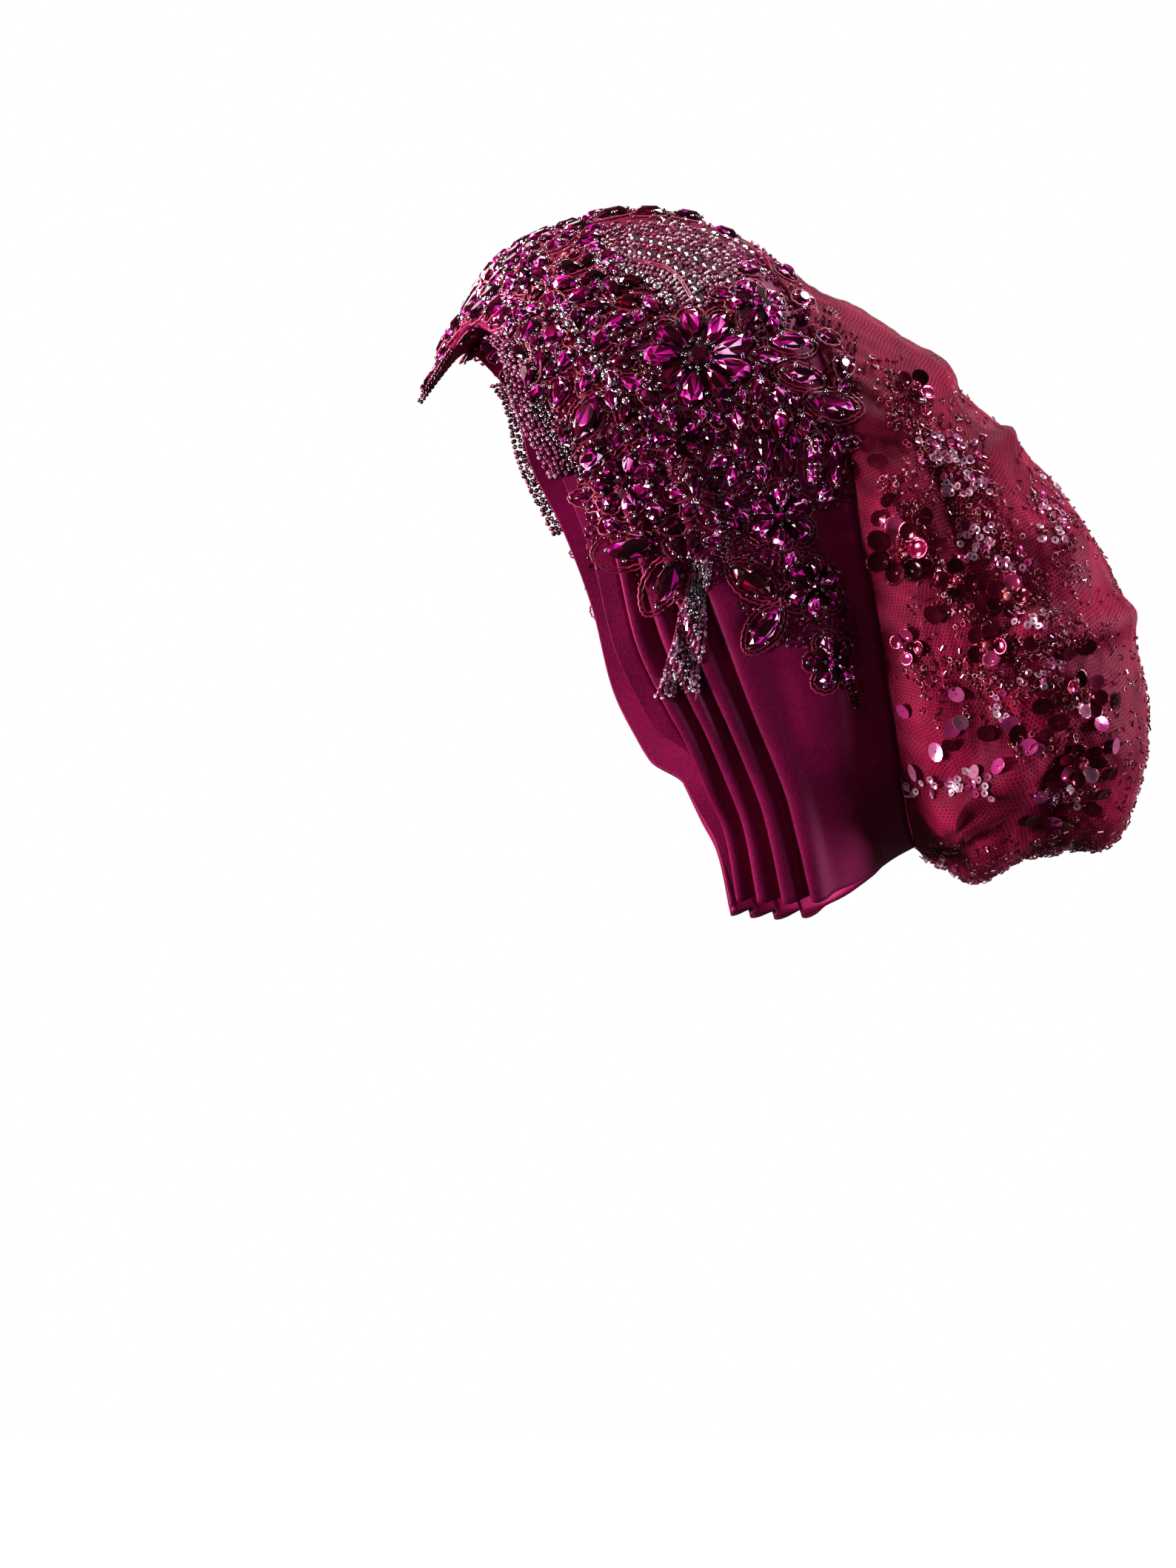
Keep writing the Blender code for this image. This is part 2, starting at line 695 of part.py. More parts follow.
def fused(pad, stones):
    """Union of a pad and the stones set on it, as one body."""
    base = scratch_object(pad)
    bpy.context.collection.objects.link(base)
    group = bpy.data.collections.new("stones")
    bpy.context.scene.collection.children.link(group)
    for stone in stones:
        group.objects.link(scratch_object(stone))
    union = base.modifiers.new("setting", "BOOLEAN")
    union.operation = "UNION"
    union.operand_type = "COLLECTION"
    union.collection = group
    union.solver = "EXACT"
    bpy.context.view_layer.update()
    mesh = bmesh.new()
    mesh.from_object(base, bpy.context.evaluated_depsgraph_get())
    for thing in [*group.objects, base]:
        bpy.data.objects.remove(thing, do_unlink=True)
    bpy.data.collections.remove(group)
    bmesh.ops.remove_doubles(mesh, verts=mesh.verts, dist=SAME_POINT)
    bmesh.ops.triangulate(mesh, faces=mesh.faces)
    return mesh


def round_outline(radius, sides):
    return [
        (radius * math.cos(math.tau * index / sides), radius * math.sin(math.tau * index / sides))
        for index in range(sides)
    ]


def flower_body(flower):
    """Pear stones round a core stone, on a round pad."""
    spread = flower["spread"]
    outline = round_outline(spread * PAD_SHARE, PAD_SIDES)
    rings = [
        ring_points(outline, 0.5, 0.0),
        ring_points(outline, 1.0, 0.0),
        ring_points(outline, 1.0, STONE_PAD),
    ]
    pad = stack_rings(rings, low_centre=Vector((0.0, 0.0, 0.0)))
    start = flower["core"] + PETAL_START
    room = math.pi * spread * PETAL_CROWDING / flower["petals"]
    half_broad = min(PETAL_ASPECT * (spread - start), room)
    stones = [cut_stone(round_outline(flower["core"], STONE_SIDES))]
    for petal in range(flower["petals"]):
        angle = math.tau * (petal + 0.5) / flower["petals"]
        stones.append(turned(cut_stone(pear_outline(start, spread, half_broad)), angle))
    return fused(pad, stones)


def leaf_body(leaf):
    """One leaf-shaped stone on a pad that shows round it as a border."""
    outline = leaf_outline(leaf["long"], leaf["broad"])
    border = leaf_outline(leaf["long"] + PAD_BORDER, leaf["broad"] + PAD_BORDER)
    rings = [
        ring_points(border, 1.0, 0.0),
        ring_points(border, 1.0, STONE_PAD),
        ring_points(outline, 1.0, STONE_PAD),
        ring_points(outline, STONE_TABLE, STONE_PAD + STONE_RISE),
    ]
    return stack_rings(rings)


def tassel_body():
    """Flat fan of bead strings, hung from its narrow end."""
    long = (Vector(TASSEL["to"]) - Vector(TASSEL["from"])).length
    steps = TASSEL["steps"]
    mesh = bmesh.new()
    layers = []
    for height in (0.0, TASSEL["thick"]):
        grid = []
        for step in shares(steps):
            half = (TASSEL["start"] * (1.0 - step) + TASSEL["end"] * step) / 2.0
            x = long * (step - 0.5)
            grid.append([mesh.verts.new((x, side * half, height)) for side in (-1, 0, 1)])
        layers.append(grid)
    low, high = layers
    for grid in layers:
        for i in range(steps):
            for j in range(2):
                mesh.faces.new([grid[i][j], grid[i][j + 1], grid[i + 1][j + 1], grid[i + 1][j]])
    for i in range(steps):
        for j in (0, 2):
            mesh.faces.new([low[i][j], low[i + 1][j], high[i + 1][j], high[i][j]])
    for i in (0, steps):
        for j in range(2):
            mesh.faces.new([low[i][j], low[i][j + 1], high[i][j + 1], high[i][j]])
    face_out(mesh)
    bmesh.ops.triangulate(mesh, faces=mesh.faces)
    return mesh


def sequin_body(flower):
    """Cupped petals round a small dome of beads."""
    petals = flower["petals"]
    spread = flower["spread"]
    outline = []
    for index in range(2 * petals):
        angle = math.tau * index / (2 * petals)
        reach = spread * (SEQUIN["waist"] if index % 2 else 1.0)
        outline.append((reach * math.cos(angle), reach * math.sin(angle)))
    foot = round_outline(spread, 2 * petals)
    cup = SEQUIN["cup"]
    rings = [
        ring_points(foot, SEQUIN["foot"], 0.0),
        ring_points(outline, 1.0, cup),
        ring_points(outline, 1.0, cup + SEQUIN["thick"]),
        ring_points(foot, SEQUIN["foot"], SEQUIN["well"]),
    ]
    dome = Vector((0.0, 0.0, SEQUIN["dome"]))
    return stack_rings(rings, low_centre=Vector((0.0, 0.0, 0.0)), high_centre=dome)


def add_pair(name, mesh, material, twin):
    """Add the left side's piece and, where it has one, its twin on the right side."""
    if twin:
        other = mesh.copy()
        for vertex in other.verts:
            vertex.co.x = -vertex.co.x
        bmesh.ops.reverse_faces(other, faces=other.faces)
        add_object(f"{name}_right", other, material)
        name = f"{name}_left"
    add_object(name, mesh, material)


def seat_all(rows, body, tree, material, stiff=False):
    """Make each row's ornament and lay it on the cloth."""
    for row in rows:
        mesh = body(row)
        tilt = math.radians(row.get("tilt", 0.0))
        Seat(tree, row["back"], row["up"], tilt).place(mesh, stiff)
        add_pair(row["name"], mesh, material, row["twin"])


def make_tassels(tree, beads):
    """Bead tassels that hang over the pleats, one on each side."""
    start, end = TASSEL["from"], TASSEL["to"]
    tilt = math.atan2(end[1] - start[1], end[0] - start[0])
    mesh = tassel_body()
    Seat(tree, (start[0] + end[0]) / 2.0, (start[1] + end[1]) / 2.0, tilt).place(mesh, stiff=False)
    add_pair("bead_tassel", mesh, beads, True)


def main():
    clear_scene()
    satin = finish("satin", (0.16, 0.012, 0.045), 0.55)
    net = finish("net", (0.36, 0.03, 0.11), 0.6)
    stone = finish("cut_stone", (0.35, 0.01, 0.22), 0.1)
    beads = finish("glass_beads", (0.45, 0.15, 0.28), 0.25, 0.3)
    sequin = finish("sequin", (0.4, 0.01, 0.05), 0.2, 0.6)
    band = make_pleated_band(satin)
    make_crown_bag(satin)
    drape = make_net_drape(net)
    patch = make_applique_net(net)
    make_bead_edges(beads)
    make_brow_point(beads)
    tree = carrier_tree([band, drape, patch])
    make_tassels(tree, beads)
    seat_all(STONE_FLOWERS, flower_body, tree, stone)
    seat_all(LEAF_STONES, leaf_body, tree, stone, stiff=True)
    seat_all(SEQUIN_FLOWERS, sequin_body, tree, sequin)


main()
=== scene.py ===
"""Looks of a slouchy turban: satin pleats, a netted crown bag, cut stones, seed beads and sequins.

Sizes in the tables are in millimetres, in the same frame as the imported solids: the wearer faces
-Y, +Z is up, the wearer's left side is +X and the origin is the seat on top of the head.
"""

import math

import bmesh
import bpy
import numpy as np
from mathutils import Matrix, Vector
from mathutils.bvhtree import BVHTree


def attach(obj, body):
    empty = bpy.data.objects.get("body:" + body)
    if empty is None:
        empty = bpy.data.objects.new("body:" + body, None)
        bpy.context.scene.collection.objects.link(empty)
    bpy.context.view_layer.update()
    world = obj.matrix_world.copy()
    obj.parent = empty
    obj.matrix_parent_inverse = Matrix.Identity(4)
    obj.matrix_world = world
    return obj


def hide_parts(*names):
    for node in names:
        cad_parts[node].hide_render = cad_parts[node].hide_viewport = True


bl_info = {
    "name": "Beaded turban",
    "version": (1, 0, 0),
    "blender": (4, 5, 0),
    "location": "3D View > Sidebar > Turban",
    "description": "Builds the cloth, net, stones, beads and sequins of a turban round its solids",
    "category": "Add Mesh",
}

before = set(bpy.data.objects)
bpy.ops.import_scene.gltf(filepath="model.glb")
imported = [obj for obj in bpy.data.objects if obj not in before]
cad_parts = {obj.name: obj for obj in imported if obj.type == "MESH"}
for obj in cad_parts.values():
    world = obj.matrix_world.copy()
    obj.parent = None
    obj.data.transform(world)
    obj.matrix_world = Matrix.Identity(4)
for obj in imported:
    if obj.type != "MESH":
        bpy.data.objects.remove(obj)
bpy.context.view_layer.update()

MM = 0.001


def charted(keys, *rows):
    """Rows of a chart, each as a dictionary with the same keys."""
    return [dict(zip(keys.split(), row)) for row in rows]


# Cloth thicknesses, the wall of a net and the gap between pieces
BAND_CLOTH = 1.8
BAG_CLOTH = 1.6
NET_CLOTH = 0.8
PATCH_CLOTH = 1.0
NET_WALL = 0.25
PIECE_GAP = 0.4
SAME_POINT = 0.004

# Strip in front of the first pleat, and where along the rim it tucks in
RIM_STRIP = 8.0
RIM_TURN = 0.9
NOTCH_AT = 0.762
NOTCH_LENGTH = 0.045
PLEATS = 3
# Share of the panel over which the last fold falls, and the hollow in front of the seam
PANEL_FALL = 0.30
VALLEY = 6.0
HEM_TIP = 1.5
# Share down the band where the embroidered net ends
COVERED = 6.0 / 14.0

# Point from which the ornaments' places are seen, and the middle of the head
VIEWER = Vector((2000.0, -12.0, -361.0))
HEAD_CENTRE = np.array((0.0, 20.0, -95.0))
ON_MIDDLE = 0.5
LEFT_TO_RIGHT = np.array((-1.0, 1.0, 1.0))
# Ornaments probe the cloth from this far over it; past the outline they slide towards its middle
PROBE_OVER = 9.0
PROBE_FROM = 18.0
PROBE_REACH = 40.0
SEEN_MIDDLE = Vector((0.0, 45.0, -95.0))
SLIDE_STEP = 0.012

# Lines of the band from the top centre down to the hem: (back, up, out)
BAND_LINES = {
    "rim_fold": [
        (-58, -42, 0), (-50, -35, 24), (-43, -38, 43), (-32, -50, 59), (-26, -72, 69), (-14, -96, 75),
        (-3, -125, 77), (5, -157, 73), (15, -178, 68), (21, -188, 64), (30, -206, 55), (36, -218, 49),
        (41, -241, 38),
    ],
    "last_fold": [
        (-37, -11, 0), (-27, -17, 30), (-13, -36, 57), (2, -63, 72), (15, -94, 78), (25, -125, 79),
        (37, -157, 74), (47, -182, 66), (57, -206, 58), (61, -221, 52), (66, -242, 42),
    ],
    "panel": [
        (0, 2.5, 0), (7, -6, 30), (24, -33, 58), (40, -68, 73), (52, -102, 78), (61, -135, 78),
        (69, -165, 72), (75, -192, 62), (79, -213, 50), (82, -236, 31),
    ],
    "nape": [
        (21, 0.5, 0), (27, -6, 27), (45, -31, 55), (58, -62, 70), (69, -98, 76), (76, -130, 76),
        (82, -160, 70), (88, -188, 59), (91, -207, 46), (94, -221, 25), (96, -225.5, 0),
    ],
    "seam": [
        (37, -5, 0), (42, -10, 25), (56, -31, 50), (69, -58, 66), (77, -87, 72), (82, -114, 74),
        (88, -144, 70), (93, -172, 62), (97, -196, 50), (101, -213, 32), (103.5, -221, 0),
    ],
}
LINE_PLACES = np.array((0.0, 1.0, 1.5, 1.8, 2.0))
SEAM = 2.0

# Cross-sections of the crown bag behind the seam, from the band to the tail
BAG_SECTIONS = charted(
    "top low half_width bow",
    ((76, -34), (116, -227), 79, 15), ((115, -66), (126, -232), 80, 14), ((144, -91), (142, -224), 74, 10),
    ((167, -124), (160, -221), 60, 6), ((181, -158), (175, -216), 36, 2),
)
BAG_TAIL = (186.0, -189.0)
BAG_PLACES = np.array((0.0, 0.2, 0.46, 0.64, 0.8, 0.92, 1.0))
SECTION_FULLNESS = 0.85
SEAM_BLEND = 0.12
# The folds fade out towards the middle of the back; the net dips less than the satin and rests on it
FOLD_FADE = (14.0, 46.0)
NET_DIP = 0.55
NET_REST = 0.6
FOLD_DEPTH = 1.5
# Broad folds: from, to, width and height
BAG_FOLDS = [
    ((84, -34), (130, -90), 9, 3.5), ((130, -90), (154, -128), 9, 3.5), ((119, -68), (146, -112), 7, -6),
    ((102, -92), (126, -142), 9, -3.5), ((140, -154), (172, -146), 7, 3),
    ((136, -166), (168, -160), 6, -3.5), ((114, -221), (124, -215), 6, 3), ((120, -217), (144, -200), 7, 4),
    ((122, -224), (146, -212), 6, -4.5), ((118, -176), (146, -196), 7, -3.5),
    ((160, -200), (150, -219), 7, -3),
]
# Sharper folds between them
NET_FOLDS = [
    ((106, -54), (132, -84), 4.5, 3), ((132, -84), (151, -122), 4.5, 3),
    ((124, -67), (141, -90), 3.2, -4.5), ((141, -90), (149, -114), 3.2, -4.5),
    ((90, -88), (98, -150), 5, -2.4), ((100, -94), (120, -150), 4.5, 2.4),
    ((109, -98), (128, -146), 3.2, -3), ((137, -162), (166, -154), 3.6, 2.6),
    ((137, -166), (168, -168), 3.2, -3.4), ((101, -213), (122, -207), 5, 3.4),
    ((122, -207), (147, -190), 5, 3.4), ((110, -221), (151, -199), 3, -4.4),
    ((128, -214), (152, -205), 4, 3), ((118, -223), (152, -214), 3.2, -3),
]


def linear(code):
    """Linear colour with alpha from an sRGB hex code."""
    parts = [int(code[start:start + 2], 16) / 255.0 for start in (1, 3, 5)]
    curve = [part / 12.92 if part <= 0.04045 else ((part + 0.055) / 1.055) ** 2.4 for part in parts]
    return (*curve, 1.0)


def length_size(name, text, millimetres):
    return bpy.props.FloatProperty(
        name=name, description=text, default=millimetres * MM, unit="LENGTH", precision=5
    )


def colour_choice(name, text, code):
    return bpy.props.FloatVectorProperty(
        name=name, description=text, default=linear(code), subtype="COLOR", size=4
    )


class TurbanSizes(bpy.types.PropertyGroup):
    """Sizes that a maker may change."""

    pleat_height: length_size("Pleat height", "How far each folded edge stands over the next", 3.6)
    net_cell: length_size("Net cell", "Width of one cell of the hexagonal net", 1.6)
    bead: length_size("Seed bead", "Outer width of a seed bead", 1.9)
    sequin: length_size("Cup sequin", "Outer width of a small cup sequin", 2.8)
    cord: length_size("Braid", "Width of the braid sewn round the stones", 0.8)


class TurbanColours(bpy.types.PropertyGroup):
    """Colours that a maker may change."""

    satin: colour_choice("Satin", "Stretch satin of the band and the bag", "#740a3c")
    lining: colour_choice("Bag satin", "Stretch satin under the net", "#640824")
    net: colour_choice("Net", "Nylon tulle over the bag and the band's front", "#ac1a46")
    stone: colour_choice("Stone", "Body of the cut stones", "#82073e")
    # Colour of the painted glints: the brightest facet tones of the stones, and their glow
    flash: colour_choice("Stone flash", "Facets that send light back", "#ee12b8")
    bead: colour_choice("Seed bead", "Lined seed beads", "#d89ac0")
    metal: colour_choice("Claws", "Nickel claws and gunmetal beads", "#98808c")
    braid: colour_choice("Braid", "Viscose braid round the stones", "#8e1440")
    sequin: colour_choice("Sequin", "Metallised film of the dark sequins", "#600822")
    pink: colour_choice("Pink sequin", "Film of the pink discs", "#d63a8c")


def sizes():
    return bpy.context.scene.turban_sizes


def colours():
    return bpy.context.scene.turban_colours


def smoothstep(low, high, value):
    share = np.clip((value - low) / (high - low), 0.0, 1.0)
    return share * share * (3.0 - 2.0 * share)


def unit(vectors):
    return vectors / np.maximum(np.linalg.norm(vectors, axis=-1, keepdims=True), 1e-9)


def curve_through(keys, values, at):
    """Smooth curve through values (keys, points, 3) at rising keys, one key for each point."""
    last = len(keys) - 1
    steps = np.arange(last + 1)
    before = np.maximum(steps - 1, 0)
    after = np.minimum(steps + 1, last)
    slopes = (values[after] - values[before]) / (keys[after] - keys[before])[:, None, None]
    span = np.clip(np.searchsorted(keys, at, side="left") - 1, 0, last - 1)
    point = np.arange(len(at)) if values.shape[1] > 1 else np.zeros(len(at), int)
    width = (keys[span + 1] - keys[span])[:, None]
    u = ((at - keys[span]) / width[:, 0])[:, None]
    start = values[span, point] * (2 * u**3 - 3 * u**2 + 1)
    start += slopes[span, point] * width * (u**3 - 2 * u**2 + u)
    end = values[span + 1, point] * (3 * u**2 - 2 * u**3)
    end += slopes[span + 1, point] * width * (u**3 - u**2)
    return start + end


def place_rows(rows):
    """Rows (back, up, out) as points (x, y, z), each with its share of the line's length."""
    points = [np.array((out, back, up)) for back, up, out in rows]
    closing = int(points[-1][0] == 0.0)
    if closing:
        points.append(points[-2] * LEFT_TO_RIGHT)
    points.insert(0, points[1] * LEFT_TO_RIGHT)
    points = np.array(points)
    keys = np.concatenate(([0.0], np.cumsum(np.linalg.norm(np.diff(points, axis=0), axis=1))))
    length = keys[-1 - closing] - keys[1]
    return (keys - keys[1]) / length, points[:, None, :]


LINES = [place_rows(rows) for rows in BAND_LINES.values()]


def band_at(share, place):
    """Inner face of the band for arrays of shares down it and places across it."""
    lines = np.stack([curve_through(keys, points, share) for keys, points in LINES])
    point = curve_through(LINE_PLACES, lines, np.maximum(place, 0.0))
    point[:, 0] = np.maximum(point[:, 0], 0.0)
    ahead = unit(lines[0] - curve_through(LINE_PLACES, lines, np.full(len(share), 0.02)))
    tucked = smoothstep(NOTCH_AT, NOTCH_AT + NOTCH_LENGTH, share)
    width = RIM_STRIP * (1.0 - tucked) + RIM_TURN * tucked
    strip = lines[0] + ahead * (width * -place)[:, None]
    return np.where((place < 0.0)[:, None], strip, point)


def outward(surface, share, place, first, last):
    """Unit normals of a surface, pointing away from the head."""
    step = 0.01
    down = surface(np.minimum(share + step, 1.0), place)
    down -= surface(np.maximum(share - step, 0.0), place)
    back = surface(share, np.minimum(place + step, last))
    back -= surface(share, np.maximum(place - step, first))
    normal = np.cross(down, back)
    here = surface(share, place)
    normal[np.abs(here[:, 0]) < ON_MIDDLE, 0] = 0.0
    inward = np.sum(normal * (here - HEAD_CENTRE), axis=1) < 0.0
    normal[inward] *= -1.0
    return unit(normal)


def band_normal(share, place):
    return outward(band_at, share, place, -9.0, SEAM)


def bag_ring(section, share):
    """Points on one cross-section of the bag."""
    top = np.array((0.0, *section["top"]), float)
    low = np.array((0.0, *section["low"]), float)
    arm = (top - low) / 2.0
    behind = unit(np.array((0.0, -arm[2], arm[1])))
    if behind[1] < 0.0:
        behind = -behind
    turn = math.pi * share
    sine = np.maximum(np.sin(turn), 0.0)
    middle = (top + low) / 2.0 + arm * np.cos(turn)[:, None]
    middle += behind * (section["bow"] * sine)[:, None]
    middle[:, 0] += section["half_width"] * sine**SECTION_FULLNESS
    return middle


def bag_at(share, place):
    """Smooth form of the bag, from the seam at place 0 to the tail at place 1."""
    seam = band_at(share, np.full(len(share), SEAM))
    along = unit(seam - band_at(share, np.full(len(share), SEAM - 0.02)))
    rings = [seam + along * PIECE_GAP]
    rings += [bag_ring(section, share) for section in BAG_SECTIONS]
    rings.append(np.tile(np.array((0.0, *BAG_TAIL)), (len(share), 1)))
    return curve_through(BAG_PLACES, np.stack(rings), place)


def bag_normal(share, place):
    behind = smoothstep(0.0, SEAM_BLEND, place)[:, None]
    own = outward(bag_at, share, place, 0.0, 1.0)
    return unit(own * behind + band_normal(share, np.full(len(share), SEAM)) * (1.0 - behind))


def fold_relief(points, net):
    """Height of the bag's folds; the net dips less than the cloth below it."""
    height = np.zeros(len(points))
    side = points[:, 1:]
    for folds, depth in ((BAG_FOLDS, FOLD_DEPTH), (NET_FOLDS, 1.0)):
        for begin, end, width, tall in folds:
            start = np.array(begin, float)
            along = np.array(end, float) - start
            share = np.clip((side - start) @ along / (along @ along), 0.0, 1.0)
            away = np.linalg.norm(side - start - share[:, None] * along, axis=1)
            height += depth * tall * np.exp(-((away / width) ** 2))
    if net:
        height = np.where(height < 0.0, height * NET_DIP, height)
    return height * smoothstep(*FOLD_FADE, np.abs(points[:, 0]))


WAVES = 6


def soft_waves(points, length, seed):
    """Gentle unevenness of hand-laid cloth: a few crossing waves, between -1 and 1."""
    rng = np.random.default_rng(seed)
    total = np.zeros(len(points))
    for _ in range(WAVES):
        direction = unit(rng.normal(size=3))
        turns = points @ direction * math.tau / (length * rng.uniform(0.7, 1.5))
        total += np.sin(turns + rng.uniform(0, 6.28))
    return total / WAVES * 1.6


def use_material(thing, *finishes):
    for finish in finishes:
        thing.data.materials.append(finish)


def add_piece(name, verts, faces):
    """Smooth mesh object from points in millimetres and faces of equal corner counts."""
    count, corners = faces.shape
    mesh = bpy.data.meshes.new(name)
    mesh.vertices.add(len(verts))
    mesh.vertices.foreach_set("co", np.asarray(verts, np.float32).ravel() * MM)
    mesh.loops.add(faces.size)
    mesh.loops.foreach_set("vertex_index", faces.ravel().astype(np.int32))
    mesh.polygons.add(count)
    mesh.polygons.foreach_set("loop_start", np.arange(0, faces.size, corners, dtype=np.int32))
    mesh.update(calc_edges=True)
    mesh.polygons.foreach_set("use_smooth", np.ones(count, bool))
    mesh.validate()
    thing = bpy.data.objects.new(name, mesh)
    bpy.context.collection.objects.link(thing)
    return thing


def grid_faces(rows, columns, start=0):
    corner = np.arange(rows * columns).reshape(rows, columns) + start
    return np.stack(
        (corner[:-1, :-1], corner[1:, :-1], corner[1:, 1:], corner[:-1, 1:]), axis=-1
    ).reshape(-1, 4)


def signed_volume(verts, quads):
    a, b, c, d = (verts[quads[:, index]] for index in range(4))
    return np.sum(np.cross(a, b) * c) + np.sum(np.cross(a, c) * d)


def cloth_shell(name, outer, inner, pole=False):
    """Closed cloth between two grids (rows, columns, 3) for the left half, made whole by its mirror."""
    halves = [np.concatenate(((grid * LEFT_TO_RIGHT)[:0:-1], grid)) for grid in (outer, inner)]
    rows, columns = halves[0].shape[:2]
    verts = np.concatenate([half.reshape(-1, 3) for half in halves])
    size = rows * columns
    top = grid_faces(rows, columns)
    low = grid_faces(rows, columns, size)[:, ::-1]
    corner = np.arange(size).reshape(rows, columns)
    borders = []
    for line in ([corner[:, 0]] if pole else [corner[:, 0], corner[::-1, -1]]):
        borders.append(np.stack((line[1:], line[:-1], line[:-1] + size, line[1:] + size), axis=1))
    for line in (corner[0, ::-1], corner[-1]):
        wide = np.abs(verts[line[1:], 0] + verts[line[:-1], 0]) > 2.0 * ON_MIDDLE
        pair = np.stack((line[1:], line[:-1], line[:-1] + size, line[1:] + size), axis=1)
        borders.append(pair[wide])
    quads = np.concatenate([top, low, *borders])
    if signed_volume(verts, quads) < 0.0:
        quads = quads[:, ::-1]
    thing = add_piece(name, verts, quads)
    lay_flat(thing, halves[0], pole)
    mesh = bmesh.new()
    mesh.from_mesh(thing.data)
    bmesh.ops.remove_doubles(mesh, verts=mesh.verts, dist=SAME_POINT * MM)
    bmesh.ops.dissolve_degenerate(mesh, edges=mesh.edges, dist=SAME_POINT / 4.0 * MM)
    mesh.to_mesh(thing.data)
    mesh.free()
    return thing


def lay_flat(thing, grid, pole):
    """UV map in metres of cloth: across the piece and down it, or out from the pole and round it."""
    rows, columns = grid.shape[:2]
    across = np.zeros((rows, columns))
    across[:, 1:] = np.cumsum(np.linalg.norm(np.diff(grid, axis=1), axis=2), axis=1)
    down = np.zeros((rows, columns))
    down[1:] = np.cumsum(np.linalg.norm(np.diff(grid, axis=0), axis=2), axis=0)
    down -= down[rows // 2]
    if pole:
        reach = across[:, -1:] - across
        ring = columns // 2
        turn = (down[:, ring] / reach[:, ring].mean())[:, None]
        across, down = reach * np.cos(turn), reach * np.sin(turn)
    flat = np.stack((across, down), axis=-1).reshape(-1, 2) * MM
    flat = np.concatenate((flat, flat))
    corners = np.zeros(len(thing.data.loops), np.int32)
    thing.data.loops.foreach_get("vertex_index", corners)
    layer = thing.data.uv_layers.new(name="cloth")
    layer.data.foreach_set("uv", flat[corners].astype(np.float32).ravel())


# Node materials


def add_node(tree, kind, inputs=None, stops=None, **settings):
    """One node with its settings; an input is a value or the socket that feeds it.

    Stops fill a ramp, each with a colour or its hex code.
    """
    node = tree.nodes.new(kind)
    for key, value in settings.items():
        setattr(node, key, value)
    for key, value in (inputs or {}).items():
        if isinstance(value, bpy.types.NodeSocket):
            tree.links.new(value, node.inputs[key])
        else:
            node.inputs[key].default_value = value
    for index, (place, colour) in enumerate(stops or []):
        elements = node.color_ramp.elements
        element = elements[index] if index < len(elements) else elements.new(place)
        element.position = place
        element.color = linear(colour) if isinstance(colour, str) else colour
    return node


def new_material(name):
    """Empty node material and its tree."""
    made = bpy.data.materials.new(name)
    made.use_nodes = True
    made.node_tree.nodes.clear()
    return made, made.node_tree


def finish_material(tree, inputs):
    """Principled shader with these inputs, joined to the output."""
    shader = add_node(tree, "ShaderNodeBsdfPrincipled", inputs)
    add_node(tree, "ShaderNodeOutputMaterial", {0: shader.outputs[0]})


def shade(colour, amount):
    return tuple(min(1.0, part * amount) for part in colour[:3]) + (1.0,)


def satin_material(name, body):
    """Polyester stretch satin, woven: a dull lustre along the threads, and fine speckled ribs."""
    made, tree = new_material(name)
    flat = add_node(tree, "ShaderNodeUVMap", uv_map="cloth").outputs[0]
    # Warp threads about 0.3 mm apart, drawn at 0.7 mm across the cloth so that they show
    pitch = (1500.0, 620.0, 1.0)
    threads = add_node(tree, "ShaderNodeMapping", {"Vector": flat, "Scale": pitch}).outputs[0]
    place = add_node(tree, "ShaderNodeTexCoord").outputs["Object"]
    grain, clouds = (
        add_node(tree, "ShaderNodeTexNoise", {"Vector": at, "Scale": scale, "Detail": detail}).outputs["Fac"]
        for at, scale, detail in ((threads, 1.0, 3.0), (place, 38.0, 2.0))
    )
    soft = add_node(tree, "ShaderNodeMath", {0: clouds, 1: 0.4}, operation="MULTIPLY").outputs[0]
    blend = add_node(
        tree, "ShaderNodeMath", {0: grain, 1: 0.6, 2: soft}, operation="MULTIPLY_ADD"
    ).outputs[0]
    stops = [(0.32, shade(body, 0.5)), (0.68, shade(body, 1.5))]
    tone = add_node(tree, "ShaderNodeValToRGB", {"Fac": blend}, stops=stops).outputs[0]
    bump = add_node(tree, "ShaderNodeBump", {"Height": grain, "Strength": 0.5, "Distance": 0.00012}).outputs[0]
    finish_material(tree, {
        "Base Color": tone, "Roughness": 0.5, "Normal": bump, "Sheen Weight": 0.12,
        "Sheen Roughness": 0.4, "Sheen Tint": linear("#c03a7a"), "Specular IOR Level": 0.3,
        "Specular Tint": linear("#f080b0"),
    })
    return made


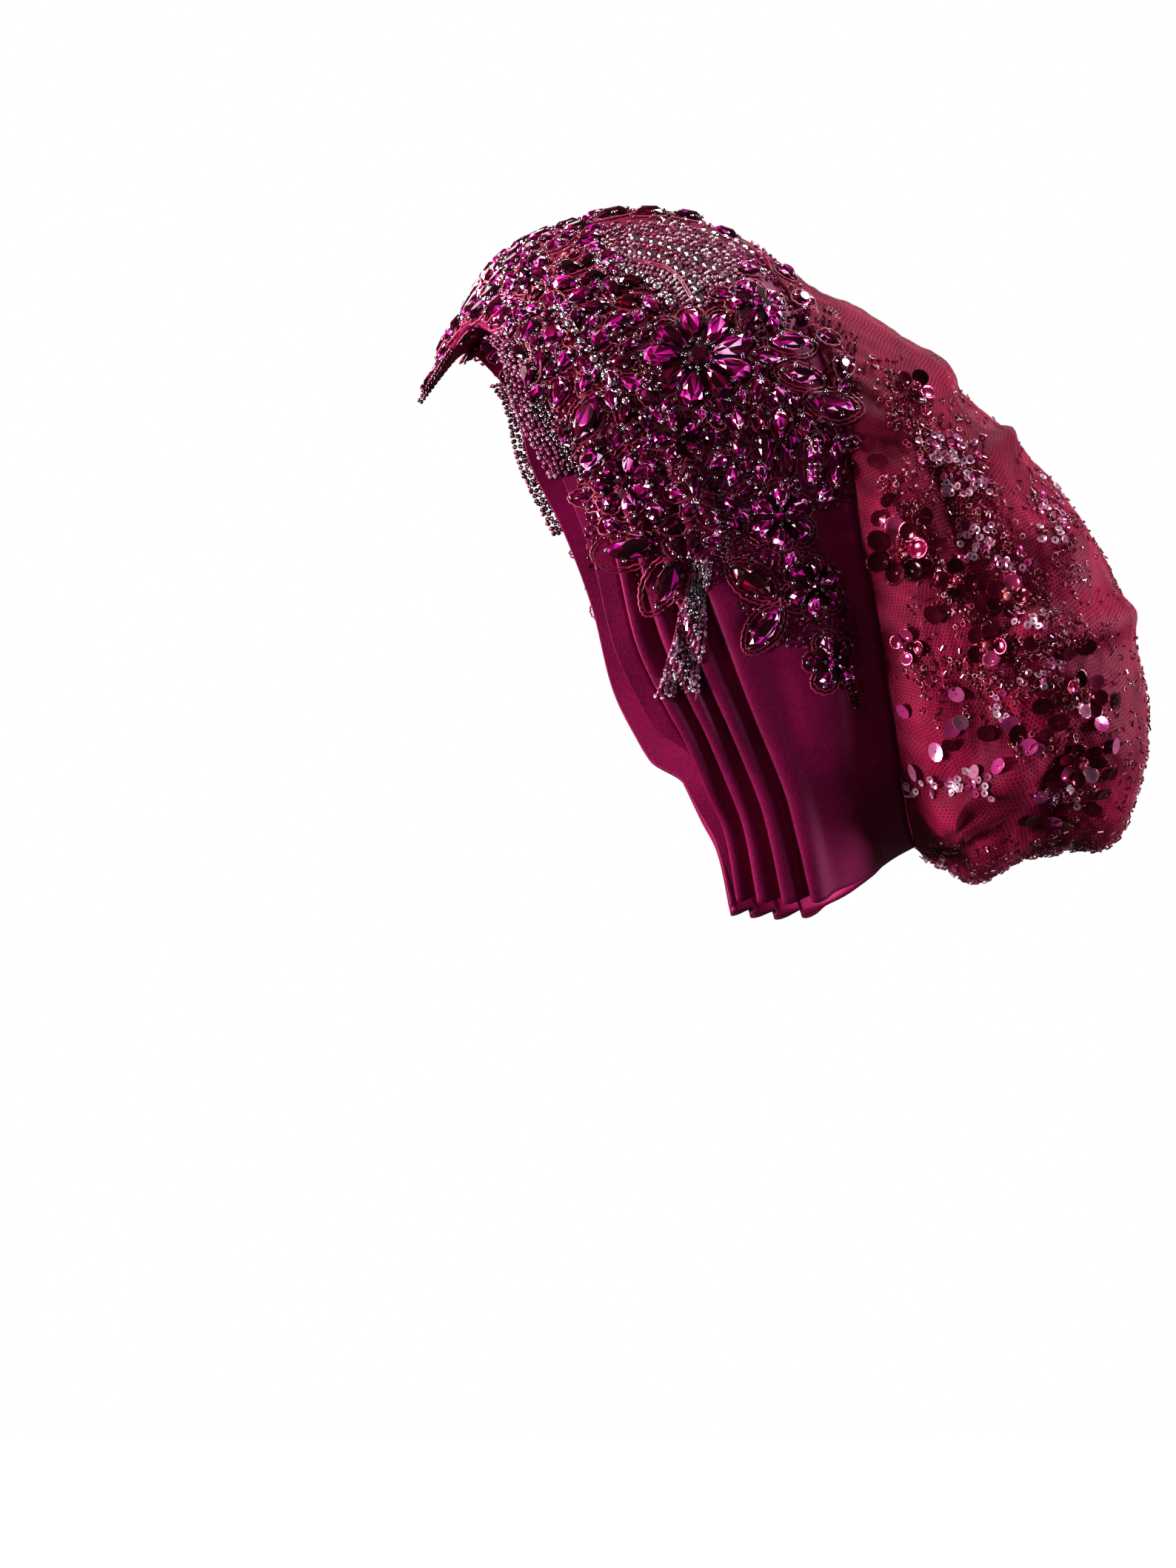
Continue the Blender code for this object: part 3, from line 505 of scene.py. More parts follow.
def net_material(name, cell, thread, between, colour, dark):
    """Nylon tulle, knitted in hexagons: open cells between threads that catch the light."""
    made, tree = new_material(name)
    flat = add_node(tree, "ShaderNodeUVMap", uv_map="cloth").outputs[0]
    # Cells of about 1.6 mm, as in the photo, their threads drawn thicker so that they show at this
    # distance: two lattices of tiles make the hexagons
    scale = 1.0 / cell
    step = (1.0, 1.7320508, 1.0)
    half = (0.5, 0.8660254, 0.0)
    # Far from zero, so that no tile number is negative
    offset = (500.0, 866.025404, 0.0)
    spread = add_node(
        tree, "ShaderNodeVectorMath", {0: flat, 1: (scale, scale, 0.0), 2: offset}, operation="MULTIPLY_ADD"
    ).outputs[0]
    moved = add_node(tree, "ShaderNodeVectorMath", {0: spread, 1: half}, operation="SUBTRACT").outputs[0]
    reach = []
    for lattice in (spread, moved):
        tile = add_node(tree, "ShaderNodeVectorMath", {0: lattice, 1: step}, operation="MODULO").outputs[0]
        middle = add_node(tree, "ShaderNodeVectorMath", {0: tile, 1: half}, operation="SUBTRACT").outputs[0]
        size = add_node(tree, "ShaderNodeVectorMath", {0: middle}, operation="ABSOLUTE").outputs[0]
        slanted, level = (
            add_node(
                tree, "ShaderNodeVectorMath", {0: size, 1: side}, operation="DOT_PRODUCT"
            ).outputs["Value"]
            for side in (half, (1.0, 0.0, 0.0))
        )
        reach.append(add_node(tree, "ShaderNodeMath", {0: slanted, 1: level}, operation="MAXIMUM").outputs[0])
    edge = add_node(tree, "ShaderNodeMath", {0: reach[0], 1: reach[1]}, operation="MINIMUM").outputs[0]
    rise = add_node(tree, "ShaderNodeMath", {0: edge, 1: 0.5 - thread}, operation="SUBTRACT").outputs[0]
    # What the finer threads between the drawn ones cover
    mask = add_node(tree, "ShaderNodeMath", {0: rise, 1: 0.0}, operation="GREATER_THAN").outputs[0]
    veil = add_node(tree, "ShaderNodeMath", {0: mask, 1: between}, operation="MAXIMUM").outputs[0]
    bump = add_node(tree, "ShaderNodeBump", {"Height": rise, "Strength": 0.8, "Distance": 0.0004}).outputs[0]
    place = add_node(tree, "ShaderNodeTexCoord").outputs["Object"]
    patchy = {"Vector": place, "Scale": 60.0, "Detail": 3.0}
    clouds = add_node(tree, "ShaderNodeTexNoise", patchy).outputs["Fac"]
    stops = [(0.35, dark), (0.65, colour)]
    tone = add_node(tree, "ShaderNodeValToRGB", {"Fac": clouds}, stops=stops).outputs[0]
    finish_material(tree, {
        "Base Color": tone, "Roughness": 0.55, "Normal": bump, "Alpha": veil, "Sheen Weight": 0.06,
        "Sheen Roughness": 0.4, "Sheen Tint": linear("#ff60a0"), "Specular IOR Level": 0.25,
        "Specular Tint": linear("#ff90b0"),
    })
    return made


def toned_material(name, stops, inputs):
    """Finish whose colour follows the tone of each part."""
    made, tree = new_material(name)
    tone = add_node(tree, "ShaderNodeAttribute", attribute_name="tone").outputs["Fac"]
    colour = add_node(tree, "ShaderNodeValToRGB", {"Fac": tone}, stops=stops).outputs[0]
    finish_material(tree, {"Base Color": colour, **inputs})
    return made


def stone_material(name, stops, glow, strength):
    """Foil-backed pressed glass: clear gloss over painted reflections, most facets dark and a few bright ones
    that glow as painted glints.
    """
    made, tree = new_material(name)
    tone = add_node(tree, "ShaderNodeAttribute", attribute_name="tone").outputs["Fac"]
    colour = add_node(tree, "ShaderNodeValToRGB", {"Fac": tone}, stops=stops).outputs[0]
    black = (0.0, 0.0, 0.0, 1.0)
    # The brightest facets glow though the glass is no lamp: painted glints
    painted_glow_stops = [(0.52, black), (0.8, glow), (1.0, "#ffd0f6")]
    painted_glow = add_node(tree, "ShaderNodeValToRGB", {"Fac": tone}, stops=painted_glow_stops).outputs[0]
    finish_material(tree, {
        "Base Color": colour, "Metallic": 0.45, "Roughness": 0.08, "Coat Weight": 0.25,
        "Coat Roughness": 0.02, "Emission Color": painted_glow, "Emission Strength": strength,
    })
    return made


MATERIAL_MAKERS = {
    "satin": lambda: satin_material("stretch_satin", colours().satin),
    "lining": lambda: satin_material("bag_satin", colours().lining),
    "net": lambda: net_material(
        "nylon_tulle", sizes().net_cell, 0.11, 0.3, colours().net, shade(colours().net, 0.5)
    ),
    # The embroidered tulle is the net's own colour darkened to 0.36 and 0.12 of it: painted shade between the
    # stones
    "shaded_patch_net": lambda: net_material(
        "embroidered_tulle_painted_shade", sizes().net_cell, 0.16, 0.85, shade(colours().net, 0.36),
        shade(colours().net, 0.12)
    ),
    # Cut stones: facet tones from near black to near white are painted reflections, and the brightest glow as
    # painted glints
    "stone": lambda: stone_material("glass_with_painted_glints", [
        (0.0, "#22020d"), (0.32, "#520420"), (0.56, colours().stone),
        (0.76, colours().flash), (0.95, "#ffc8f0"),
    ], shade(colours().flash, 0.75), 0.6),
    "red_stone": lambda: stone_material("red_glass_with_painted_glints", [
        (0.0, "#24020c"), (0.34, "#4c041a"), (0.6, "#80062a"),
        (0.82, "#e01848"), (0.97, "#ffb8c8"),
    ], linear("#b01038"), 0.4),
    # Nickel plate and gunmetal, polished: bright points beside dark reflections
    "metal": lambda: toned_material("nickel_plate", [
        (0.0, "#241018"), (0.5, colours().metal), (1.0, "#fff0f6"),
    ], {"Metallic": 1.0, "Roughness": 0.2}),
    # Glass seed beads with a coloured lining: glossy, each of its own depth of colour; the near-white top of
    # the ramp paints glints on the palest beads
    "bead": lambda: toned_material("lined_seed_glass", [
        (0.0, "#1e020a"), (0.3, "#5c0a28"), (0.6, "#a84878"),
        (0.8, colours().bead), (1.0, "#fff2fa"),
    ], {"Metallic": 0.4, "Roughness": 0.17, "Specular IOR Level": 0.7, "Specular Tint": linear("#ffd0e4"),
        "Coat Weight": 0.5, "Coat Roughness": 0.1}),
    # Viscose braid: soft threads with a low lustre
    "braid": lambda: toned_material("viscose_braid", [
        (0.0, shade(colours().braid, 0.4)), (1.0, shade(colours().braid, 1.7)),
    ], {"Roughness": 0.45, "Sheen Weight": 0.1, "Sheen Tint": linear("#ff5080")}),
    # Stiffened cloth under the stone flowers, dark between the petals as painted shadow
    "shadow_felt": lambda: toned_material("painted_shadow_cloth", [
        (0.0, "#24020e"), (1.0, "#3c0618"),
    ], {"Roughness": 0.7, "Specular IOR Level": 0.1}),
    # Polyester film with a metal coat: mirror gloss over deep red; the pink to near-white top of the ramp
    # paints highlights on some petals
    "sequin": lambda: toned_material("red_coated_film", [
        (0.0, "#30040f"), (0.5, colours().sequin), (0.8, "#94103c"),
        (0.95, "#d8407c"), (1.0, "#ff9cc8"),
    ], {"Metallic": 0.65, "Roughness": 0.14}),
    # The same film in pink, each piece of its own tone; the pale tones up to near white are partly the film's
    # own colour and partly painted highlight
    "pink": lambda: toned_material("pink_coated_film", [
        (0.0, shade(colours().pink, 0.55)), (0.4, colours().pink), (1.0, "#ffe4f4"),
    ], {"Metallic": 0.4, "Roughness": 0.16, "Coat Weight": 0.15, "Coat Roughness": 0.04}),
    # Clear red glass with a lustre, as in the loops, tubes and balls: deep colour under sharp glints
    "glass": lambda: toned_material("red_lustre_glass", [
        (0.0, "#3c040e"), (0.6, "#8c1030"), (0.9, "#cc4460"), (1.0, "#f0b0a8"),
    ], {"Metallic": 0.25, "Roughness": 0.12, "Coat Weight": 0.6, "Coat Roughness": 0.04}),
}


made_materials = {}


def material(name):
    """The named finish, made when a piece first asks for it."""
    if name not in made_materials:
        made_materials[name] = MATERIAL_MAKERS[name]()
    return made_materials[name]


# Stage, light and camera

FLOOR_RADIUS = 1.4
FLOOR_LEVEL = -0.48
# Lights, with place and size in metres, power in watts and colour
LIGHTS = [
    ("key", (0.12, -1.4, 0.75), 0.4, 58.0, "#fff6f0"),
    ("low", (0.4, -0.95, -0.42), 0.4, 28.0, "#ffffff"),
    ("sparkle", (1.5, -0.7, 0.55), 0.12, 2.4, "#ffffff"),
    ("fill", (0.2, 1.5, -0.1), 0.45, 19.0, "#f4f2ff"),
    ("top", (-0.05, 0.45, 1.15), 0.35, 15.0, "#ffffff"),
    ("far", (-1.2, -0.5, 0.5), 0.8, 4.0, "#ffffff"),
    ("back", (-0.5, 1.3, 0.1), 0.5, 4.0, "#ffffff"),
]
LIT_SPOT = (0.0, 0.06, -0.12)
ROOM_LIGHT = 0.06
# The camera stands two metres to the wearer's left and a little low; its frame there is 0.561 m high
EYE_AT = (2.0, -0.012, -0.361)
EYE_AIM = (0.0, -0.012, -0.2)
EYE_DISTANCE = 2.00647
FRAME_HEIGHT = 0.561
SENSOR = 24.0


def aim(thing, target):
    thing.rotation_euler = (Vector(target) - thing.location).to_track_quat("-Z", "Y").to_euler()


class TURBAN_OT_stage(bpy.types.Operator):
    """Add the pale floor, the studio lights, the white surroundings and the camera"""

    bl_idname = "turban.stage"
    bl_label = "Stage"

    def execute(self, context):
        bpy.ops.object.select_all(action="DESELECT")
        bpy.ops.mesh.primitive_circle_add(
            vertices=96, radius=FLOOR_RADIUS, fill_type="NGON", location=(0, 0, FLOOR_LEVEL)
        )
        floor = context.object
        floor.name = "floor"
        paper, tree = new_material("matt_paper")
        # A little light of its own melts the paper's far edge into the white backdrop
        glow = {"Emission Color": linear("#ffffff"), "Emission Strength": 0.3}
        finish_material(tree, {"Base Color": linear("#fbfaf9"), "Roughness": 0.9, **glow})
        use_material(floor, paper)
        # Its bounce would flatten the dark satin, so the low light stands for it
        floor.visible_diffuse = floor.visible_glossy = False
        for name, place, size, power, code in LIGHTS:
            light = bpy.data.lights.new(name, "AREA")
            light.size = size
            light.energy = power
            light.color = linear(code)[:3]
            lamp = bpy.data.objects.new(name, light)
            lamp.location = place
            aim(lamp, LIT_SPOT)
            context.collection.objects.link(lamp)
        world = bpy.data.worlds.new("white_room")
        world.use_nodes = True
        tree = world.node_tree
        tree.nodes.clear()
        seen = add_node(tree, "ShaderNodeLightPath").outputs["Is Camera Ray"]
        dim, white = (
            add_node(tree, "ShaderNodeBackground", {"Color": linear("#ffffff"), "Strength": strength})
            for strength in (ROOM_LIGHT, 1.0)
        )
        mix = add_node(tree, "ShaderNodeMixShader", {0: seen, 1: dim.outputs[0], 2: white.outputs[0]})
        add_node(tree, "ShaderNodeOutputWorld", {0: mix.outputs[0]})
        context.scene.world = world
        context.scene.view_settings.view_transform = "Standard"
        camera = bpy.data.cameras.new("camera")
        camera.sensor_fit = "VERTICAL"
        camera.sensor_height = SENSOR
        camera.lens = SENSOR * EYE_DISTANCE / FRAME_HEIGHT
        eye = bpy.data.objects.new("camera", camera)
        eye.location = EYE_AT
        aim(eye, EYE_AIM)
        context.collection.objects.link(eye)
        context.scene.camera = eye
        return {"FINISHED"}


# Cloth

# Section through one knife pleat: behind the fold in mm, height in mm; its folded edge leans forward
PLEAT_SECTION = [
    (-2.2, -0.05), (-1.5, -0.3), (-0.9, -0.6), (-0.3, -0.8), (0.4, -0.85), (0.7, -0.4), (0.35, 0.1),
    (-0.2, 0.5), (-0.75, 1), (-1.05, 1.6), (-1.05, 2.2), (-0.7, 2.75), (-0.1, 3.05), (0.7, 3.15),
]
# The rest of the strip behind a fold: share of the strip, share of the height
STRIP_SECTION = [
    (0.14, 1.03), (0.22, 1), (0.31, 0.92), (0.41, 0.78), (0.51, 0.58), (0.61, 0.36), (0.71, 0.16),
    (0.8, 0.03),
]
# Places of the plain panel, from behind the last fold to the seam
PANEL_PLACES = [1.3, 1.36, 1.42, 1.48, 1.54, 1.6, 1.66, 1.72, 1.78, 1.84, 1.89, 1.94, 2.0]


def band_rows():
    """Shares down the band, closer together at the notch and the hem."""
    notch, end = NOTCH_AT - 0.012, NOTCH_AT + NOTCH_LENGTH + 0.012
    marks = (0.0, COVERED, notch, end, 0.965, 1.0)
    counts = (26, 36, 10, 18, 8)
    parts = [np.linspace(*span)[:-1] for span in zip(marks, marks[1:], counts)]
    return np.concatenate((*parts, [1.0]))


def band_columns(rows):
    """Place and height of each point across the band, for every row."""
    last, first = (band_at(rows, np.full(len(rows), place)) for place in (1.0, 0.0))
    width = np.linalg.norm(last - first, axis=1)
    open_rows = smoothstep(COVERED, COVERED + 0.07, rows)
    tall = sizes().pleat_height / MM / 3.0
    narrow = np.minimum(1.0, width / PLEATS / 11.0)
    places = [np.full(len(rows), place) for place in (-1.0, -0.97, -0.8, -0.6, -0.4, -0.25)]
    heights = [np.zeros(len(rows)) for _ in places]
    for fold in range(PLEATS + 1):
        front = fold / PLEATS
        strip = PANEL_FALL if fold == PLEATS else 1.0 / PLEATS
        for behind, height in PLEAT_SECTION:
            lean = behind * narrow * (0.25 + 0.75 * open_rows) if behind > -2.0 else behind * narrow
            places.append(front + lean / width)
            heights.append(height * tall * open_rows)
        for share, height in STRIP_SECTION:
            places.append(np.full(len(rows), front + share * strip))
            heights.append(3.1 * tall * height * open_rows)
    for place in PANEL_PLACES:
        places.append(np.full(len(rows), place))
        heights.append(np.zeros(len(rows)))
    return np.stack(places, axis=1), np.stack(heights, axis=1)


def panel_valley(share, place):
    """Share of its full depth to which the panel sinks in front of the seam."""
    across = np.exp(-(((place - 1.84) / 0.24) ** 2))
    return across * smoothstep(0.4, 0.55, share) * smoothstep(1.0, 0.88, share)


def hem_drop(place):
    """How far the hem drops at the folded edge of each pleat."""
    behind = np.where(place > 0.0, (place * PLEATS + 0.06) % 1.0, 1.0)
    saw = HEM_TIP * (1.0 - behind)
    last = HEM_TIP * np.maximum(0.0, 1.0 - (place - 0.985) / PANEL_FALL)
    return np.where(place > 0.985, np.minimum(last, HEM_TIP), np.where(place < -0.02, 0.0, saw))


class TURBAN_OT_pleated_band(bpy.types.Operator):
    """Make the pleated satin band: rim strip, three knife pleats and the plain panel"""

    bl_idname = "turban.pleated_band"
    bl_label = "Pleated band"

    def execute(self, context):
        rows = band_rows()
        places, heights = band_columns(rows)
        share = np.repeat(rows, places.shape[1])
        place = places.ravel()
        plain = np.maximum.accumulate(places + np.arange(places.shape[1]) * 1e-5, axis=1).ravel()
        plain = np.minimum(plain, SEAM)
        place = np.minimum(place, SEAM)
        base = band_at(share, place)
        normal = band_normal(share, plain)
        below = band_at(share, plain)
        lift = heights.ravel() + BAND_CLOTH
        free = smoothstep(COVERED, COVERED + 0.1, share)
        panel = smoothstep(1.05, 1.3, place)
        lift = lift + free * (0.5 * soft_waves(base * (1.0, 1.0, 0.35), 16.0, 3) * (0.4 + 0.6 * panel))
        # The panel sinks in towards the seam, and swells a little behind the last fold
        valley = panel_valley(share, place)
        swell = np.exp(-(((place - 1.3) / 0.18) ** 2)) * smoothstep(0.6, 0.85, share)
        sink = VALLEY * valley - 1.2 * swell
        lift = lift - sink
        outer = base + normal * lift[:, None]
        inner = below - normal * sink[:, None] * 0.9
        drop = hem_drop(plain) * smoothstep(0.93, 1.0, share)
        for grid in (outer, inner):
            grid[:, 2] -= drop
        shape = (len(rows), places.shape[1], 3)
        band = cloth_shell("satin_band", outer.reshape(shape), inner.reshape(shape))
        use_material(band, material("satin"))
        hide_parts("pleated_band")
        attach(band, "root")
        return {"FINISHED"}


def bag_relief(share, place, points, net):
    """Folds, seam gathers and puffs of the bag, or of the net drawn over it."""
    ends = smoothstep(0.0, 0.14, place) * smoothstep(1.0, 0.9, place)
    height = fold_relief(points, net) * ends
    side = smoothstep(0.02, 0.1, share) * smoothstep(1.0, 0.93, share)
    phase = share * 150.0 + 2.5 * np.sin(share * 23.0) + 8.0 * place
    gathers = np.sin(phase) * np.exp(-place / 0.16) * smoothstep(0.0, 0.02, place)
    height += gathers * (0.9 if net else 0.6) * side
    height += soft_waves(points, 26.0, 11) * (1.0 if net else 0.9) * ends
    height -= VALLEY * panel_valley(share, SEAM) * np.exp(-((place / 0.045) ** 2))
    if net:
        height += 0.35 * soft_waves(points * (1.0, 1.6, 1.0), 7.0, 5) * ends
        puff = np.exp(-(((place - 0.1) / 0.09) ** 2))
        height += 1.6 * (puff * smoothstep(0.25, 0.5, share) * smoothstep(1.0, 0.85, share))
        # Over the top the net stands off the satin, and shows against the light
        sheer = np.exp(-((share / 0.16) ** 2))
        sheer = sheer * smoothstep(0.12, 0.3, place) * smoothstep(0.95, 0.75, place)
        height += sheer * (2.8 + 1.4 * np.sin(place * 15.0 + 0.6))
        height = np.maximum(np.maximum(height, -4.6), bag_relief(share, place, points, False) - NET_REST)
    return height


def bag_grid(rows, columns, depth, net):
    """Points of the bag's cloth at a depth over its smooth form, for the left half."""
    share = np.repeat(rows, len(columns))
    place = np.tile(columns, len(rows))
    points = bag_at(share, place)
    normal = bag_normal(share, place)
    tail = place > 0.9999
    normal[tail] = (0.0, 1.0, 0.0)
    height = bag_relief(share, place, points, net) + depth
    height[tail] = depth
    return (points + normal * height[:, None]).reshape(len(rows), len(columns), 3)


class TURBAN_OT_crown_bag(bpy.types.Operator):
    """Make the satin crown bag that hangs behind the seam"""

    bl_idname = "turban.crown_bag"
    bl_label = "Crown bag"

    def execute(self, context):
        rows = np.linspace(0.0, 1.0, 71)
        columns = np.linspace(0.0, 1.0, 61)
        outer = bag_grid(rows, columns, BAG_CLOTH, net=False)
        inner = bag_grid(rows, columns, 0.0, net=False)
        bag = cloth_shell("satin_bag", outer, inner, pole=True)
        use_material(bag, material("lining"))
        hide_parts("crown_bag")
        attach(bag, "root")
        return {"FINISHED"}


class TURBAN_OT_net_drape(bpy.types.Operator):
    """Make the hexagonal net drawn over the crown bag"""

    bl_idname = "turban.net_drape"
    bl_label = "Net drape"

    def execute(self, context):
        rows = np.linspace(0.0, 1.0, 131)
        columns = np.linspace(0.0, 1.0, 121)
        low = BAG_CLOTH + PIECE_GAP
        outer = bag_grid(rows, columns, low + NET_CLOTH, net=True)
        inner = bag_grid(rows, columns, low + NET_CLOTH - NET_WALL, net=True)
        drape = cloth_shell("tulle_drape", outer, inner, pole=True)
        use_material(drape, material("net"))
        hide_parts("net_drape")
        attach(drape, "root")
        return {"FINISHED"}


class TURBAN_OT_applique_net(bpy.types.Operator):
    """Make the embroidered net under the stones, over the forehead and the crown"""

    bl_idname = "turban.applique_net"
    bl_label = "Applique net"

    def execute(self, context):
        rows = np.linspace(0.0, COVERED, 61)
        columns = np.concatenate((np.linspace(-0.45, 0.0, 8)[:-1], np.linspace(0.0, 1.85, 86)))
        share = np.repeat(rows, len(columns))
        place = np.tile(columns, len(rows))
        base = band_at(share, place)
        normal = band_normal(share, place)
        low = BAND_CLOTH + PIECE_GAP
        waves = 0.25 * soft_waves(base, 9.0, 8) + 0.3
        outer = base + normal * (low + PATCH_CLOTH + waves)[:, None]
        inner = base + normal * (low + PATCH_CLOTH + waves - NET_WALL)[:, None]
        shape = (len(rows), len(columns), 3)
        patch = cloth_shell("tulle_applique", outer.reshape(shape), inner.reshape(shape))
        # Its darkened net is painted shade between the stones
        use_material(patch, material("shaded_patch_net"))
        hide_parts("applique_net")
        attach(patch, "root")
        return {"FINISHED"}


# Small models, each made once and then repeated


def mesh_arrays(mesh):
    """Points and triangles of a mesh."""
    mesh.calc_loop_triangles()
    verts = np.zeros(len(mesh.vertices) * 3)
    mesh.vertices.foreach_get("co", verts)
    tris = np.zeros(len(mesh.loop_triangles) * 3, int)
    mesh.loop_triangles.foreach_get("vertices", tris)
    return verts.reshape(-1, 3), tris.reshape(-1, 3)


def facet_model(thing, smooth):
    """Arrays of a small model, with the facet that each of its triangles belongs to."""
    verts, tris = mesh_arrays(thing.data)
    facets = np.zeros(len(tris), int)
    thing.data.loop_triangles.foreach_get("polygon_index", facets)
    # Blender numbers the faces of some models anew in each run, so they are put in order
    order = np.lexsort(tris.T[::-1])
    tris = tris[order]
    _, first, facets = np.unique(facets[order], return_index=True, return_inverse=True)
    facets = np.argsort(np.argsort(first))[facets]
    bpy.data.objects.remove(thing, do_unlink=True)
    return {"verts": verts, "tris": tris, "facets": facets, "smooth": smooth}


def start_model(sides):
    """Disc of unit radius, selected in edit mode."""
    bpy.ops.object.select_all(action="DESELECT")
    bpy.ops.mesh.primitive_circle_add(vertices=sides, radius=1.0, fill_type="NGON")
    bpy.ops.object.mode_set(mode="EDIT")
    bpy.ops.mesh.select_all(action="SELECT")


def raise_ring(height, share, turn):
    """Extrude the selected top face, then draw it in and turn it."""
    bpy.ops.mesh.extrude_region_move(TRANSFORM_OT_translate={"value": (0.0, 0.0, height)})
    bpy.ops.transform.resize(value=(share, share, 1.0), center_override=(0.0, 0.0, 0.0))
    if turn:
        bpy.ops.transform.rotate(value=turn, orient_axis="Z", center_override=(0.0, 0.0, 0.0))


def cut_stone_model(sides):
    """Brilliant cut of unit radius: girdle, two rows of turned facets and the table."""
    start_model(sides)
    half = math.pi / sides
    raise_ring(0.28, 1.0, 0.0)
    raise_ring(0.4, 0.82, half)
    raise_ring(0.32, 0.66, half)
    bpy.ops.object.mode_set(mode="OBJECT")
    thing = bpy.context.object
    for face in thing.data.polygons:
        face.select = abs(face.normal.z) < 0.97
    bpy.ops.object.mode_set(mode="EDIT")
    bpy.ops.mesh.quads_convert_to_tris(quad_method="SHORTEST_DIAGONAL")
    bpy.ops.mesh.select_all(action="SELECT")
    bpy.ops.mesh.normals_make_consistent(inside=False)
    bpy.ops.object.mode_set(mode="OBJECT")
    return facet_model(thing, smooth=False)


def drawn_model(tall):
    """The new primitive, drawn out along Z."""
    thing = bpy.context.object
    bpy.ops.object.mode_set(mode="EDIT")
    bpy.ops.mesh.select_all(action="SELECT")
    bpy.ops.transform.resize(value=(1.0, 1.0, tall), center_override=(0.0, 0.0, 0.0))
    bpy.ops.object.mode_set(mode="OBJECT")
    return facet_model(thing, smooth=True)


def ring_model(around, across, bore, tall):
    """Seed bead or loop of unit radius: a short ring with a soft round wall, its hole along Z."""
    bpy.ops.object.select_all(action="DESELECT")
    bpy.ops.mesh.primitive_torus_add(
        major_segments=around, minor_segments=across,
        major_radius=(1.0 + bore) / 2.0, minor_radius=(1.0 - bore) / 2.0
    )
    return drawn_model(tall)


def tube_model():
    """Short glass tube along X, of unit length and radius, its ends drawn in."""
    bpy.ops.object.select_all(action="DESELECT")
    bpy.ops.mesh.primitive_cylinder_add(
        vertices=5, radius=1.0, depth=1.0, rotation=(0.0, math.pi / 2.0, 0.0)
    )
    thing = bpy.context.object
    bpy.ops.object.transform_apply(rotation=True)
    return facet_model(thing, smooth=False)


def dish(inward, move):
    """Inset the selected face, then move it."""
    bpy.ops.mesh.inset(thickness=inward, depth=0.0)
    bpy.ops.transform.translate(value=move)


def film_model(thick, offset, smooth):
    """The dished sheet as film of this thickness, in shares of its radius."""
    bpy.ops.object.mode_set(mode="OBJECT")
    thing = bpy.context.object
    wall = thing.modifiers.new("film", "SOLIDIFY")
    wall.thickness = thick
    wall.offset = offset
    bpy.ops.object.modifier_apply(modifier=wall.name)
    return facet_model(thing, smooth)


def sequin_model(sides, hole, cup, thick):
    """Disc of film of unit radius with a pierced hole, cupped towards it."""
    start_model(sides)
    dish(1.0 - hole, (0.0, 0.0, -cup))
    bpy.ops.mesh.delete(type="FACE")
    return film_model(thick, 1.0, smooth=False)


def petal_model():
    """Cupped petal of coated film, of unit radius, dished towards its middle."""
    start_model(12)
    dish(0.3, (0.0, 0.0, -0.17))
    dish(0.35, (-0.1, 0.0, -0.09))
    return film_model(0.05, -1.0, smooth=True)


def ball_model():
    """Drawn glass pearl of unit radius, a little flat at the ends of its bore."""
    bpy.ops.object.select_all(action="DESELECT")
    bpy.ops.mesh.primitive_uv_sphere_add(segments=12, ring_count=7, radius=1.0)
    return drawn_model(0.92)


def pear(x, y):
    """Outline that is broad at +X and pointed at -X."""
    return x, y * (0.76 + 0.38 * x)


def marquise(x, y):
    """Outline that narrows towards both ends."""
    return x, y * (1.0 - 0.3 * x * x)


def oblong(x, y):
    """Outline pushed out to the corners of a box."""
    push = (np.hypot(x, y) / np.maximum(np.maximum(np.abs(x), np.abs(y)), 1e-6)) ** 0.8
    return x * push, y * push


OUTLINES = {"pear": pear, "marquise": marquise, "baguette": oblong}


def reshaped(model, outline):
    """The model with its round outline drawn to another one."""
    verts = model["verts"].copy()
    verts[:, 0], verts[:, 1] = outline(verts[:, 0], verts[:, 1])
    return {**model, "verts": verts}


models = {}


def small_model(name):
    """The named small model; all are made when a piece first asks for one."""
    if not models:
        models["round"] = cut_stone_model(10)
        models["pear"] = reshaped(models["round"], pear)
        models["marquise"] = reshaped(models["round"], marquise)
        models["baguette"] = reshaped(cut_stone_model(8), oblong)
        models["bead"] = ring_model(6, 3, 0.14, 1.7)
        models["loop"] = ring_model(8, 3, 0.6, 1.0)
        models["tube"] = tube_model()
        models["cup"] = sequin_model(10, 0.4, 0.22, 0.12)
        models["disc"] = sequin_model(12, 0.15, 0.1, 0.05)
        models["petal"] = petal_model()
        models["ball"] = ball_model()
    return models[name]


# Finishes of small parts; a cut stone has a tone for each facet, from dark to bright, as painted reflections
FINISHES = ["stone", "red_stone", "metal", "bead", "braid", "shadow_felt", "sequin", "pink", "glass"]
CUT = ("stone", "red_stone")
EVEN_TONE = 0.5
CORD_SIDES = 4


